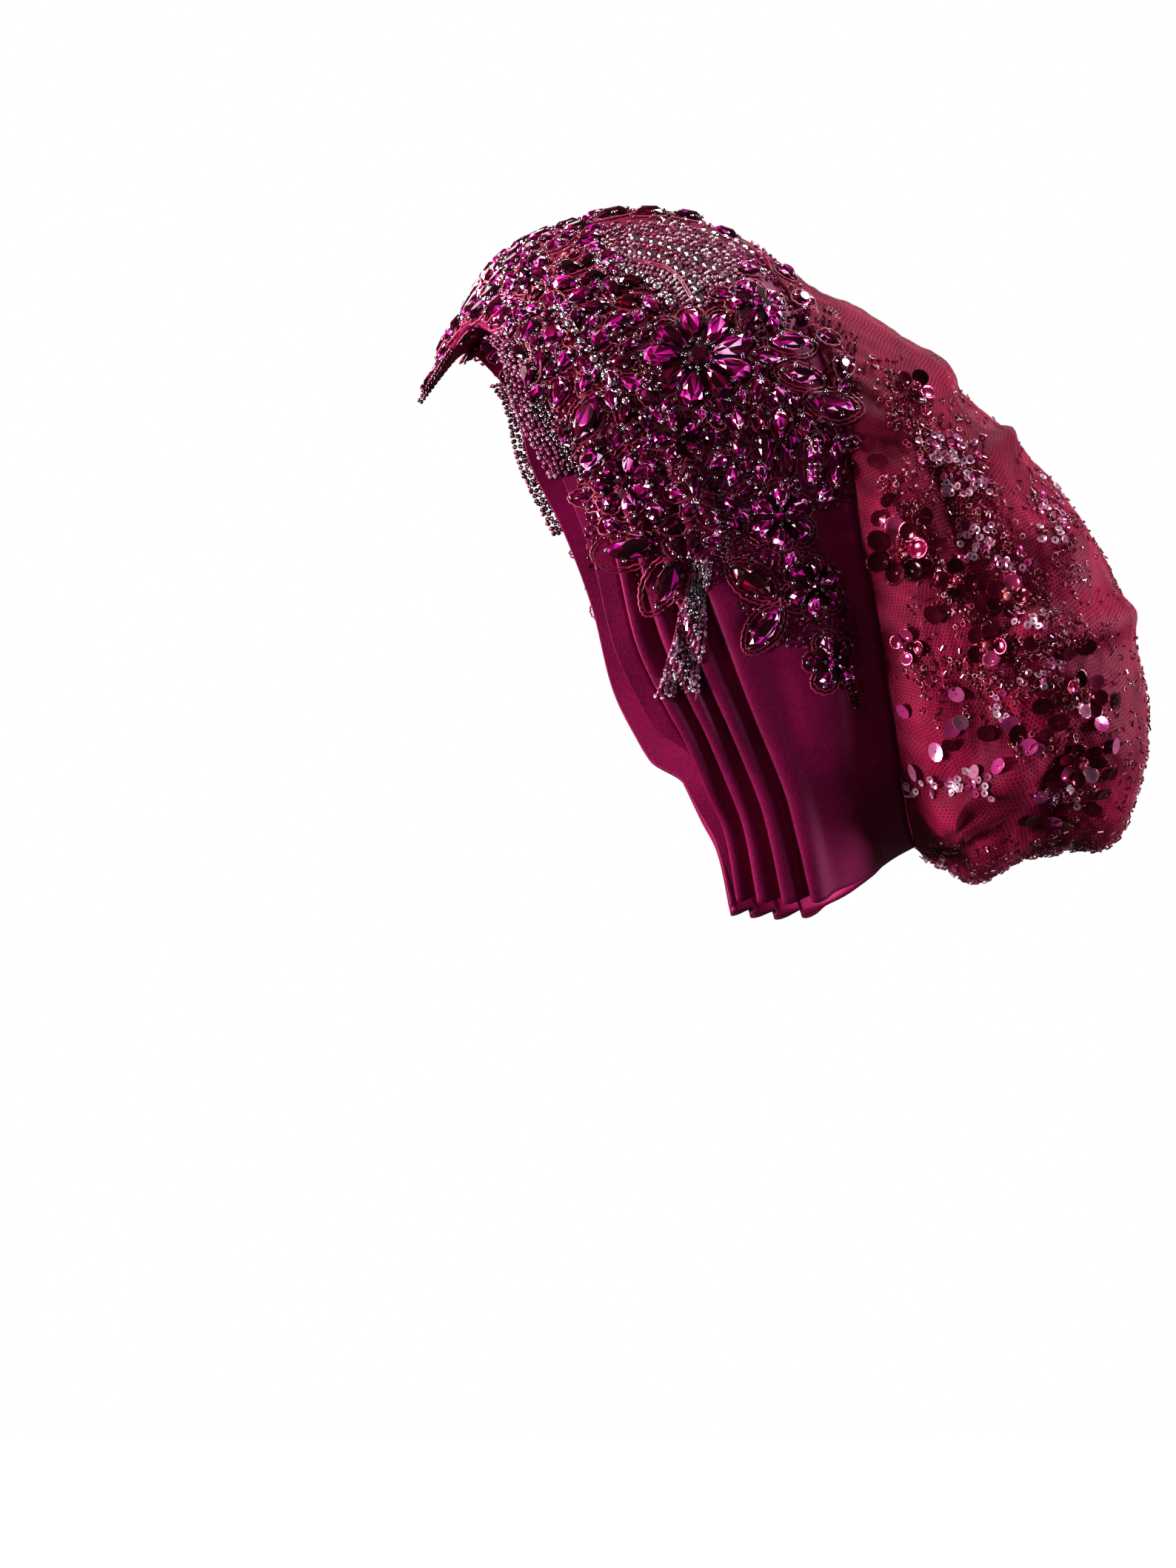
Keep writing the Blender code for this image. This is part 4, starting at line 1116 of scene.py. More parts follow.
class Heap:
    """Small parts gathered into one mesh; each corner has a tone that its finish is coloured by."""

    def __init__(self, seed):
        self.rng = np.random.default_rng(seed)
        self.parts = []
        self.size = 0

    def take(self, verts, tris, finish, smooth, tone):
        """Add arrays of points and triangles in one finish."""
        count = len(tris)
        tones = np.broadcast_to(np.asarray(tone, float), (count, 3))
        self.parts.append((
            verts, tris + self.size, np.full(count, FINISHES.index(finish)), np.full(count, smooth), tones
        ))
        self.size += len(verts)

    def add(self, name, place, axes, scale, finish, spread=0.5, lift=0.2):
        """One copy of a small model; a cut stone gets a tone for each facet, others one tone."""
        model = small_model(name)
        verts = np.array(place) + (model["verts"] * scale) @ axes
        if finish in CUT:
            # Painted reflections: most facets are dark and a few bright, and the tone drifts across the stone,
            # in place of the light that the foil sends back
            facets = self.rng.random(model["facets"].max() + 1) ** 2.1
            across = model["verts"][model["tris"]] @ unit(self.rng.normal(size=3) * (1.0, 1.0, 0.2))
            tone = facets[model["facets"]][:, None] * 0.85 + 0.22 * across + lift
        else:
            tone = self.rng.random() * spread + lift
        self.take(verts, model["tris"], finish, model["smooth"], np.clip(tone, 0.0, 1.0))

    def cord(self, points, radius, finish, closed=True):
        """Braid or thread through points on the cloth."""
        sides = CORD_SIDES
        ahead = np.roll(points, -1, axis=0) - np.roll(points, 1, axis=0)
        if not closed:
            ahead[0] = points[1] - points[0]
            ahead[-1] = points[-1] - points[-2]
        ahead = unit(ahead)
        side = unit(np.cross(ahead, np.array((0.37, 0.11, 0.92))))
        rise = np.cross(side, ahead)
        turn = np.arange(sides) * math.tau / sides
        ring = side[:, None] * np.cos(turn)[:, None] + rise[:, None] * np.sin(turn)[:, None]
        verts = (points[:, None] + ring * radius).reshape(-1, 3)
        count = len(points)
        i, j = np.meshgrid(np.arange(count if closed else count - 1), np.arange(sides), indexing="ij")
        a, d = i * sides + j, i * sides + (j + 1) % sides
        b, c = (a + sides) % (count * sides), (d + sides) % (count * sides)
        halves = [np.stack(half, -1).reshape(-1, 3) for half in ((a, c, b), (a, d, c))]
        tris = np.concatenate(halves)
        if not closed:
            fan = [(0, k + 1, k) for k in range(1, sides - 1)]
            end = (count - 1) * sides
            fan += [(end, end + k, end + k + 1) for k in range(1, sides - 1)]
            tris = np.concatenate((tris, np.array(fan)))
        first, second, third = (verts[tris[:, corner]] for corner in range(3))
        out = np.cross(second - first, third - first)
        middle = np.repeat(points, sides, axis=0)[tris].mean(axis=1)
        if np.sum(out * (verts[tris].mean(axis=1) - middle)) < 0.0:
            tris = tris[:, ::-1]
        self.take(verts, tris, finish, True, self.rng.uniform(0.2, 0.8))

    def build(self, name, mirror=False, replaces=()):
        """The parts as one piece, or as its mirror image."""
        verts, tris, finish, smooth, tone = (np.concatenate(part) for part in zip(*self.parts))
        if mirror:
            verts = verts * LEFT_TO_RIGHT
            tris, tone = tris[:, ::-1], tone[:, ::-1]
        thing = add_piece(name, verts, tris)
        used = sorted(set(finish.tolist()))
        use_material(thing, *[material(FINISHES[index]) for index in used])
        thing.data.polygons.foreach_set("material_index", np.searchsorted(used, finish).astype(np.int32))
        thing.data.polygons.foreach_set("use_smooth", smooth)
        layer = thing.data.attributes.new("tone", "FLOAT", "CORNER")
        layer.data.foreach_set("value", tone.astype(np.float32).ravel())
        if replaces:
            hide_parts(*replaces)
        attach(thing, "root")

    def build_pair(self, name, kind="", twin=True):
        """The left piece and its mirrored twin; kind is the ending of a piece that stands for a node."""
        if not twin:
            self.build(name + kind, replaces=[name])
        elif kind:
            self.build(f"{name}_left{kind}", replaces=[f"{name}_left"])
            self.build(f"{name}_right{kind}", mirror=True, replaces=[f"{name}_right"])
        else:
            self.build(f"{name}_left")
            self.build(f"{name}_right", mirror=True)


carriers = {}


def carrier():
    """Search tree of the visible cloth, in millimetres."""
    if not carriers:
        points, faces = [], []
        for name in ("satin_band", "tulle_drape", "tulle_applique"):
            verts, tris = mesh_arrays(bpy.data.objects[name].data)
            faces += (tris + len(points)).tolist()
            points += (verts / MM).tolist()
        carriers["tree"] = BVHTree.FromPolygons(points, faces, all_triangles=True)
    return carriers["tree"]


def frame_on(normal, turn):
    """Rows of a frame that stands on the cloth, its X turned about the normal."""
    side = normal.orthogonal().normalized()
    first = side * math.cos(turn) + normal.cross(side) * math.sin(turn)
    return np.array((first, normal.cross(first), normal))


def seen_spot(back, up):
    """Point and normal of the cloth at a place as it is seen from the left, or nothing past its edge."""
    spot, normal, _, _ = carrier().ray_cast(VIEWER, (Vector((0.0, back, up)) - VIEWER).normalized())
    return spot, normal


class Seat:
    """Place on the cloth where an ornament sits, with its flat directions."""

    def __init__(self, spot, normal, tilt=0.0):
        self.spot = spot
        self.normal = normal
        across = Vector((0.0, math.cos(tilt), math.sin(tilt)))
        across = across - normal * across.dot(normal)
        if across.length < 0.1:
            across = normal.orthogonal()
        self.across = across.normalized()
        self.along = normal.cross(self.across)

    def lay(self, x, y, rise):
        """Point over the cloth at a place of the seat, and the cloth's normal there."""
        start = self.spot + self.across * x + self.along * y
        hit, normal, _, _ = carrier().ray_cast(start + self.normal * PROBE_FROM, -self.normal, PROBE_REACH)
        if hit is None:
            hit, normal, _, _ = carrier().find_nearest(start)
        if normal.dot(self.normal) < 0.3:
            normal = self.normal
        return hit + normal * rise, normal

    def axes(self, normal, turn):
        """Rows of a frame whose X points along a turn in the seat."""
        first = self.across * math.cos(turn) + self.along * math.sin(turn)
        first = (first - normal * first.dot(normal)).normalized()
        return np.array((first, normal.cross(first), normal))


def settled(spot, normal, tilt, slope):
    """Seat whose normal is the mean of the cloth's over a patch."""
    total = Vector(normal)
    side = normal.orthogonal().normalized()
    for step in range(6):
        angle = math.tau * step / 6
        probe = spot + (side * math.cos(angle) + normal.cross(side) * math.sin(angle)) * slope
        _, near, _, _ = carrier().find_nearest(probe)
        total += near if near.dot(normal) > 0.0 else -near
    return Seat(spot, total.normalized(), math.radians(tilt))


def seen_seat(back, up, tilt=0.0, slope=5.0):
    """Seat at a place as it is seen from the left; just past the edge it slides onto the cloth."""
    for slide in range(16):
        place = Vector((0.0, back, up)).lerp(SEEN_MIDDLE, slide * SLIDE_STEP)
        spot, normal = seen_spot(place.y, place.z)
        if spot is not None:
            break
    return settled(spot, normal, tilt, slope)


def cloth_seat(share, place, tilt=0.0, slope=3.0):
    """Seat at a share and a place of the band."""
    share, place = np.array([share]), np.array([place])
    out = Vector(band_normal(share, place)[0])
    # Well over the cloth, so that the search meets the net's outer face
    spot, normal, _, _ = carrier().find_nearest(Vector(band_at(share, place)[0]) + out * PROBE_OVER)
    return settled(spot, normal, tilt, slope)


# Ornaments


# Claws at a stone's ends and sides, in half lengths and half breadths, and their size in mm
CLAWS = [(1.05, 0.0), (-1.05, 0.0), (0.25, 0.95), (0.25, -0.95)]
LEAF_CLAWS = [(1.05, 0), (-1.05, 0), (0.45, 0.95), (0.45, -0.95), (-0.45, 0.95), (-0.45, -0.95)]
CLAW = 0.85
# Braid round a stone: its way out, the step to a second row, the scallops and the points along it
BRAID_OUT = 1.1
BRAID_STEP = 1.4
SCALLOP = 2.4
BRAID_POINTS = 0.7


def set_stone(
    heap, seat, x, y, turn, half_long, half_broad, cut, finish="stone", lift=0.0, rise=2.6, claws=4
):
    """Cut stone in its setting, with nickel claws at its ends and sides."""
    point, normal = seat.lay(x, y, 0.5)
    axes = seat.axes((normal + seat.normal).normalized(), turn)
    heap.add(cut, point, axes, (half_long, half_broad, rise), finish, lift=lift)
    for u, v in CLAWS[:claws]:
        spot = np.array(point) + axes[0] * half_long * u + axes[1] * half_broad * v + axes[2] * rise * 0.5
        heap.add("bead", spot, frame_on(normal, heap.rng.uniform(0.0, 3.0)), CLAW, "metal", 0.7, 0.3)


def loop_braid(heap, seat, x, y, turn, half_long, half_broad, cut, rows=1):
    """Scalloped braid sewn round a stone, in one or two rows."""
    radius = sizes().cord / MM / 2.0
    outline = OUTLINES.get(cut, lambda u, v: (u, v))
    for row in range(rows):
        out = BRAID_OUT + BRAID_STEP * row
        count = max(18, int(math.tau * ((half_long + half_broad) / 2.0 + out) / BRAID_POINTS))
        turns = np.arange(count) * math.tau / count
        scallops = max(6, round(count * BRAID_POINTS / SCALLOP))
        wave = 0.5 * np.abs(np.sin(turns * scallops / 2.0)) + out
        u, v = outline(np.cos(turns), np.sin(turns))
        px = u * half_long + np.cos(turns) * wave
        py = v * half_broad + np.sin(turns) * wave
        c, s = math.cos(turn), math.sin(turn)
        px, py = x + px * c - py * s, y + px * s + py * c
        spots = [seat.lay(a, b, radius * 0.8)[0] for a, b in zip(px, py)]
        level = np.array([(spot - seat.spot).dot(seat.normal) for spot in spots])
        # The backing is stiff, so the braid bridges the pleats and runs straight on past an edge
        level = np.clip(level, np.median(level) - 1.6, np.median(level) + 3.0)
        for smoothed in (np.max, np.mean):
            level = smoothed([np.roll(level, shift) for shift in range(-2, 3)], axis=0)
        flat = np.array(seat.across) * px[:, None] + np.array(seat.along) * py[:, None]
        heap.cord(np.array(seat.spot) + flat + np.array(seat.normal) * level[:, None], radius, "braid")


def backing(heap, seat, radius, thick=1.2):
    """Stiff dark backing under a flower, laid to the cloth: a painted shadow under its petals."""
    rings = (0.5, 0.88, 1.0)
    count = 20
    verts = []
    for level in (thick, 0.1):
        for ring in rings:
            for step in range(count):
                angle = math.tau * step / count
                x, y = ring * radius * math.cos(angle), ring * radius * math.sin(angle)
                drop = 0.4 if ring == rings[-1] and level == thick else 0.0
                verts.append(seat.lay(x, y, level - drop)[0])
        verts.append(seat.lay(0.0, 0.0, level)[0])
    layer = len(rings) * count + 1
    tris = []
    for base, side in ((0, 1), (layer, -1)):
        faces = [(base + layer - 1, base + k, base + (k + 1) % count) for k in range(count)]
        for ring in range(len(rings) - 1):
            for k in range(count):
                a, b = base + ring * count + k, base + ring * count + (k + 1) % count
                faces += [(a, a + count, b), (b, a + count, b + count)]
        tris += [face[::side] for face in faces]
    edge = (len(rings) - 1) * count
    for k in range(count):
        a, b = edge + k, edge + (k + 1) % count
        tris += [(a, a + layer, b), (b, a + layer, b + layer)]
    heap.take(np.array(verts), np.array(tris), "shadow_felt", True, EVEN_TONE)


# Flowers of cut stones: seen place, petals, spread, core and whether the right side has its twin
STONE_FLOWERS = charted(
    "name back up petals spread core twin",
    ("flower_main", 28, -46, 9, 19, 4.6, True), ("flower_upper", 49, -27, 5, 10, 2.4, False),
    ("flower_middle", 20, -76, 5, 9, 2.2, False), ("flower_temple", 1, -92, 7, 11, 2.4, False),
    ("flower_rear", 57, -104, 6, 11, 2.4, False), ("flower_low", 69, -129, 6, 10, 2.2, False),
    ("flower_tail", 75, -156, 5, 9, 2.2, False), ("flower_brow", -34, -17, 6, 10, 2.6, True),
)
# A flower past this spread has claws at every petal and a ring of beads round its core
BIG_FLOWER = 12.0
HEART_BEADS = 12
HEART_RING = 5.8


class TURBAN_OT_stone_flowers(bpy.types.Operator):
    """Set the flowers of pear-cut stones, with their claws, braid and backing; the dark backing is painted
    shadow under the petals
    """

    bl_idname = "turban.stone_flowers"
    bl_label = "Stone flowers"

    def execute(self, context):
        for seed, flower in enumerate(STONE_FLOWERS):
            heap = Heap(100 + seed)
            seat = seen_seat(flower["back"], flower["up"])
            spread, core = flower["spread"], flower["core"]
            big = spread > BIG_FLOWER
            start = core + 0.5
            broad = 1.1 * min(0.42 * (spread - start), math.pi * spread * 0.68 / flower["petals"])
            # Dark backing: painted shadow under the petals
            backing(heap, seat, spread * 0.84)
            set_stone(heap, seat, 0.0, 0.0, 0.3, core, core, "round", claws=0, rise=3.4, lift=-0.2)
            for petal in range(flower["petals"]):
                angle = math.tau * (petal + 0.5) / flower["petals"]
                reach = spread * heap.rng.uniform(0.98, 1.05)
                middle, half = (start + reach) / 2.0, (reach - start) / 2.0
                x, y = middle * math.cos(angle), middle * math.sin(angle)
                lift = heap.rng.choice([-0.15, 0.0, 0.12])
                claws = 4 if big else 3
                set_stone(heap, seat, x, y, angle, half, broad, "pear", lift=lift, rise=3.2, claws=claws)
                loop_braid(heap, seat, x, y, angle, half, broad, "pear", rows=2 if petal % 2 else 1)
            for step in range(HEART_BEADS if big else 0):
                angle = math.tau * step / HEART_BEADS
                point, normal = seat.lay(HEART_RING * math.cos(angle), HEART_RING * math.sin(angle), 2.6)
                heap.add("bead", point, frame_on(normal, angle), 0.8, "metal", 0.6, 0.3)
            heap.build_pair(flower["name"], "_set", flower["twin"])
        return {"FINISHED"}


# Large leaf-shaped stones: seen place, half length, half breadth and tilt in degrees
LEAF_STONES = charted(
    "name back up long broad tilt twin",
    ("leaf_front", 1, -116, 10, 4.6, 12, True), ("leaf_down", 14, -128, 9.5, 3.8, 62, True),
    ("leaf_red", 47, -127, 8.5, 3.8, -35, False), ("leaf_rear", 51, -144, 8, 3.6, 52, False),
    ("leaf_temple", -12, -68, 8.5, 4.2, 65, True), ("leaf_fan_1", 61, -41, 7, 3, 5, False),
    ("leaf_fan_2", 65, -53, 7, 3, -8, False), ("leaf_fan_3", 76, -64, 8, 3.8, -12, False),
    ("leaf_drop_1", 69, -83, 8, 2.2, 90, False), ("leaf_drop_2", 77, -84, 8, 2.2, 90, False),
)


class TURBAN_OT_leaf_stones(bpy.types.Operator):
    """Set the large leaf-shaped stones, with claws and two rows of scalloped braid"""

    bl_idname = "turban.leaf_stones"
    bl_label = "Leaf stones"

    def execute(self, context):
        for seed, leaf in enumerate(LEAF_STONES):
            heap = Heap(200 + seed)
            seat = seen_seat(leaf["back"], leaf["up"], leaf["tilt"])
            long, broad = leaf["long"], leaf["broad"]
            # The stone lies on the highest cloth under it; a drop is two stones end to end
            high = max((seat.lay(x, 0.0, 0.0)[0] - seat.spot).dot(seat.normal) for x in (-5.0, 0.0, 5.0))
            drop = leaf["name"].startswith("leaf_drop")
            finish = "red_stone" if leaf["name"] == "leaf_red" else "stone"
            cut = "baguette" if leaf["name"] == "leaf_drop_1" else "marquise"
            point = np.array(seat.spot + seat.normal * (high + 0.9))
            axes = seat.axes(seat.normal, 0.0)
            for shift in ((-0.52, 0.52) if drop else (0.0,)):
                half = long * (0.48 if drop else 1.0)
                place = point + axes[0] * long * shift
                heap.add(cut, place, axes, (half, broad, 3.2), finish, lift=0.0)
                for bar in ((-0.55, 0.0, 0.55) if cut == "baguette" else ()):
                    for step in (-1.0, 0.0, 1.0):
                        spot = place + axes[0] * half * bar + axes[1] * broad * step * 0.8
                        spot += axes[2] * (3.3 - 0.9 * abs(step))
                        turned = np.array((axes[0], axes[2], -axes[1]))
                        heap.add("bead", spot, turned, (0.6, 0.6, 0.95), "metal", 0.4, 0.6)
            for u, v in LEAF_CLAWS:
                spot = point + axes[0] * long * u + axes[1] * broad * v + axes[2] * 1.6
                heap.add("bead", spot, frame_on(seat.normal, u), 0.9, "metal", 0.7, 0.3)
            loop_braid(heap, seat, 0.0, 0.0, 0.0, long, broad, cut, 1 if drop else 2)
            heap.build_pair(leaf["name"], "_set", leaf["twin"])
        return {"FINISHED"}


# Smaller stones by themselves, as seen from the left: place, half length, half breadth and tilt, and
# the cut where it isn't a pear
SMALL_STONES = [
    (44, -20.9, 3.6, 2.6, 20), (54.6, -25.2, 3.4, 2.6, -60), (45.6, -36.5, 3.6, 2.4, 80),
    (55.1, -35.7, 3.8, 2.2, 100), (19.1, -107.3, 4.6, 2.8, 20), (30.5, -103.4, 3.8, 2.6, -30),
    (23.9, -114.4, 4.2, 2.8, 70), (25.2, -92.2, 5, 2.8, 95), (12, -101, 3.6, 2.4, 160),
    (-29.2, -46.9, 3.8, 2.6, 80), (-20.1, -47.1, 3.6, 2.8, 60), (0, -47.7, 3.6, 2.6, 10),
    (3.4, -55.5, 4, 2.8, -20), (-3.6, -60.8, 3.4, 2.4, 100, "marquise"), (1.3, -66.5, 4, 2.6, 80),
    (-1, -75.9, 3.6, 2.8, 60), (8.4, -70.4, 3.8, 2.4, 110), (-11.7, -82.6, 3.8, 3, 50, "baguette"),
    (53, -46.3, 4.6, 2.2, 170, "marquise"), (49, -58.7, 4.2, 2.6, 75), (57.2, -70, 3.8, 3.2, 90),
    (51.2, -78.1, 5.4, 2.4, 90, "marquise"), (58.4, -84.2, 5.4, 2.8, 92, "marquise"),
    (60.5, -94, 3, 1.8, 60), (-22.5, -58.9, 4.2, 2.8, 80), (-12.9, -49, 3.4, 2.6, 110),
    (-21.3, -73.5, 3.2, 2.2, 95), (-44.3, -27.5, 5.2, 3.6, 60), (-50.5, -21.5, 5, 3.4, 30),
    (-42.4, -10.5, 4.6, 3.2, 40), (-24.4, -26.4, 4.6, 3.4, 120), (-28.9, -2.9, 4.2, 3, 10),
    (-18.4, -9.4, 4, 3, 70), (-47.6, -37.5, 4.6, 3, 70, "marquise"), (-20, 2.5, 4.2, 2.6, 0, "marquise"),
    (-10.6, -17.6, 4, 2.8, 30), (-16.4, -33, 3.8, 2.6, 100), (-9.5, -28.5, 4.6, 3, 15),
    (-1.4, -33.6, 4.4, 3, 40), (3, -26, 4.2, 3, 10), (11, -28, 3.8, 2.6, 130),
    (-7.6, -39.6, 3.8, 2.8, 70, "marquise"), (-33, -36.5, 4.2, 3, 60), (-3, 5.5, 5, 2.6, 0, "baguette"),
    (10, 6, 4.6, 2.4, 0, "baguette"), (24, 4.5, 4.4, 2.4, -8, "baguette"),
    (37, -0.5, 4, 2.4, -20, "baguette"), (59, -15.5, 3.2, 2.4, -30, "round"), (36.5, -64, 3.6, 2.4, 110),
    (10.5, -60.5, 3.8, 2.6, 120), (33.5, -92.5, 3, 2.2, 20), (9.5, -84, 3.6, 2.4, 170),
    (12.5, -91.5, 3.4, 2.4, 150), (33, -112, 3.2, 2.2, 10), (46, -94, 3.2, 2.2, 30),
    (-14, -97, 3.2, 2.4, 0), (60, -120, 3.2, 2.2, 60),
]
# The same on the front and the top, where the left view doesn't reach: share down, place across, sizes
FRONT_STONES = [
    (0.016, -0.62, 4.6, 3.2, 90), (0.045, -0.25, 4.4, 3, 40), (0.018, 0, 3.6, 3.6, 0, "round"),
    (0.03, 0.35, 4.8, 3, 70), (0.065, 0.2, 4.2, 2.8, 20, "marquise"), (0.016, 0.75, 4.6, 3, 95, "marquise"),
    (0.055, 0.72, 4.2, 3, 130), (0.09, 0.55, 4.4, 2.8, 45), (0.035, 1.1, 4.6, 3, 60),
    (0.08, 1, 4.2, 2.8, 110), (0.016, 1.4, 4.4, 2.8, 90, "marquise"), (0.055, 1.42, 4, 2.6, 40),
    (0.1, 1.3, 3.8, 2.6, 20), (0.12, 0.9, 3.8, 2.6, 80), (0.095, 0, 4, 2.8, 50), (0.03, -0.85, 3.4, 2.4, 0),
    (0.07, -0.55, 3.6, 2.4, 60),
]
# The stones are set a little larger than charted, so that they close ranks; a few are red
STONE_FULLNESS = 1.12
RED_SHARE = 0.06
# Length of a line of the band, from the middle down to the hem
HALF_RIM = 260.0
# Zones where further stones fill what is left free: outline and the half lengths tried, longest first
FILL_ZONES = [
    (
        [
            (-64, -35), (-53, -12), (-37, 0), (-16, 7), (2, 6), (-9, -7), (-6, -22), (-22, -36), (-38, -60),
            (-48, -40),
        ],
        (4.6, 3.6, 2.8),
    ),
    (
        [
            (-38, -58), (-14, -24), (6, -26), (26, -30), (46, -14), (60, -16), (80, -44), (84, -60),
            (82, -96), (66, -100), (40, -108), (20, -116), (-6, -112), (-12, -92), (-22, -66),
        ],
        (3.6, 2.9, 2.3),
    ),
]


def with_cut(rows):
    """Charted stones, each with its cut."""
    return [(*row, "pear")[:6] for row in rows]


class TURBAN_OT_small_stones(bpy.types.Operator):
    """Set the smaller stones between the flowers, on both sides"""

    bl_idname = "turban.small_stones"
    bl_label = "Small stones"

    def execute(self, context):
        heap = Heap(301)
        stones = [(seen_seat(row[0], row[1], row[4], slope=2.5), row) for row in all_stones()]
        stones += [(cloth_seat(row[0], row[1], row[4]), row) for row in with_cut(FRONT_STONES)]
        self.close_front(heap.rng, stones)
        for seat, (_, _, half_long, half_broad, _, cut) in stones:
            half_long, half_broad = half_long * STONE_FULLNESS, half_broad * STONE_FULLNESS
            finish = "red_stone" if heap.rng.random() < RED_SHARE else "stone"
            lift = heap.rng.choice([-0.15, 0.0, 0.15])
            set_stone(heap, seat, 0.0, 0.0, 0.0, half_long, half_broad, cut, finish, lift)
            loop_braid(heap, seat, 0.0, 0.0, 0.0, half_long, half_broad, cut)
        heap.build_pair("small_stones")
        return {"FINISHED"}

    def close_front(self, rng, stones):
        """Further stones over the front and the crown's middle, each clear of all others."""
        taken = [(seen_seat(one["back"], one["up"]).spot, one["spread"]) for one in STONE_FLOWERS]
        taken += [(seen_seat(one["back"], one["up"]).spot, one["long"] * 0.7) for one in LEAF_STONES]
        taken += [(seat.spot, (row[2] + row[3]) * 0.5) for seat, row in stones]
        for half_long in (4.4, 3.6, 2.8, 2.2):
            for share, place in rng.uniform((0.0, -0.85), (0.3, 1.3), (420, 2)).tolist():
                tilt = rng.uniform(0.0, 180.0)
                seat = cloth_seat(share, place, tilt)
                if inside(CROWN_ZONE, seat.spot.y, seat.spot.z) and seat.normal.x > 0.4:
                    continue
                # A stone keeps off the middle, where its mirrored twin begins
                if share < half_long / HALF_RIM or any(
                    (seat.spot - spot).length < reach + half_long * 0.8 for spot, reach in taken
                ):
                    continue
                half_broad = half_long * rng.uniform(0.62, 0.8)
                stones.append((seat, (0.0, 0.0, half_long * 0.95, half_broad, tilt, "pear")))
                taken.append((seat.spot, (half_long + half_broad) * 0.5))


def clearance(back, up, stones):
    """Distance from a place to the nearest flower, leaf or smaller stone, less than 0 on one."""
    free = min(
        math.hypot(back - one["back"], up - one["up"]) - one["spread"] * 0.95 for one in STONE_FLOWERS
    )
    leaves = [
        (one["back"], one["up"], one["long"] + 1.0, one["broad"] + 1.0, one["tilt"]) for one in LEAF_STONES
    ]
    for x, y, long, broad, tilt in leaves + [row[:5] for row in stones]:
        turn = math.radians(tilt)
        along = (back - x) * math.cos(turn) + (up - y) * math.sin(turn)
        across = (up - y) * math.cos(turn) - (back - x) * math.sin(turn)
        past = max(abs(along) - (long - broad), 0.0)
        free = min(free, math.hypot(past, across) - broad)
    return free


filled_stones = []


def all_stones():
    """The charted smaller stones, and those that fill what is left free in each zone."""
    if not filled_stones:
        rng = np.random.default_rng(77)
        filled_stones.extend(with_cut(SMALL_STONES))
        for outline, half_lengths in FILL_ZONES:
            low, high = np.min(outline, axis=0), np.max(outline, axis=0)
            for half_long in half_lengths:
                for back, up in rng.uniform(low, high, (500, 2)).tolist():
                    if inside(outline, back, up) and clearance(back, up, filled_stones) > half_long * 0.86:
                        half_broad = half_long * rng.uniform(0.62, 0.8)
                        tilt = rng.choice([35.0, 60.0, 80.0, 100.0, 125.0, 160.0])
                        cut = str(rng.choice(["pear", "pear", "marquise"]))
                        filled_stones.append((back, up, half_long * 0.95, half_broad, tilt, cut))
    return filled_stones


def blocked(back, up, gap):
    """True where a flower, a leaf or a smaller stone already lies, or is nearer than a gap."""
    return clearance(back, up, all_stones()) < gap


def inside(polygon, x, y):
    """True inside a polygon of (x, y) corners."""
    hit = False
    for (ax, ay), (bx, by) in zip(polygon, polygon[1:] + polygon[:1]):
        if (ay > y) != (by > y) and x < (bx - ax) * (y - ay) / (by - ay) + ax:
            hit = not hit
    return hit


def scattered(rng, low, high, gap, tries):
    """Random places in a box, each at least a gap from the others."""
    cells = {}
    chosen = []
    for x, y in rng.uniform(low, high, size=(tries, 2)).tolist():
        i, j = int(x // gap), int(y // gap)
        near = [cells.get((i + a, j + b)) for a in (-1, 0, 1) for b in (-1, 0, 1)]
        if all(other is None or math.hypot(x - other[0], y - other[1]) >= gap for other in near):
            cells[(i, j)] = (x, y)
            chosen.append((x, y))
    return chosen


def resampled(places, gap):
    """Places along a line at even steps."""
    line = np.array(places, float)
    run = np.concatenate(([0.0], np.cumsum(np.linalg.norm(np.diff(line, axis=0), axis=1))))
    at = np.linspace(0.0, run[-1], max(2, int(run[-1] / gap) + 1))
    return np.stack([np.interp(at, run, line[:, axis]) for axis in (0, 1)], axis=1)


def beside(places, offset):
    """The line moved sideways, to the left of its run."""
    line = resampled(places, 1.5)
    ahead = unit(np.gradient(line, axis=0))
    return line + np.stack((-ahead[:, 1], ahead[:, 0]), axis=1) * offset


def sew_row(heap, places, size, finish, gap, spread=0.5, lift=0.3, name="bead", wander=0.0, rise=0.6):
    """Row of beads or cups along seen places; beads are threaded along it, cups lie flat."""
    row = resampled(places, gap)
    row = row + heap.rng.normal(size=row.shape) * wander
    spots = [seen_spot(*place) for place in row]
    for index, (spot, normal) in enumerate(spots):
        if spot is None:
            continue
        near = spots[max(index - 1, 0)][0] if index else spots[min(1, len(spots) - 1)][0]
        ahead = (spot - near) if near is not None else normal.orthogonal()
        ahead = (ahead - normal * ahead.dot(normal))
        ahead = ahead.normalized() if ahead.length > 0.01 else normal.orthogonal().normalized()
        side = ahead.cross(normal)
        axes = np.array((side, normal, ahead)) if name == "bead" else np.array((ahead, -side, normal))
        if name == "bead":
            axes = np.array((normal, side, -ahead)) if np.linalg.det(axes) < 0.0 else axes
        heap.add(name, spot + normal * (rise * size), axes, size, finish, spread, lift)


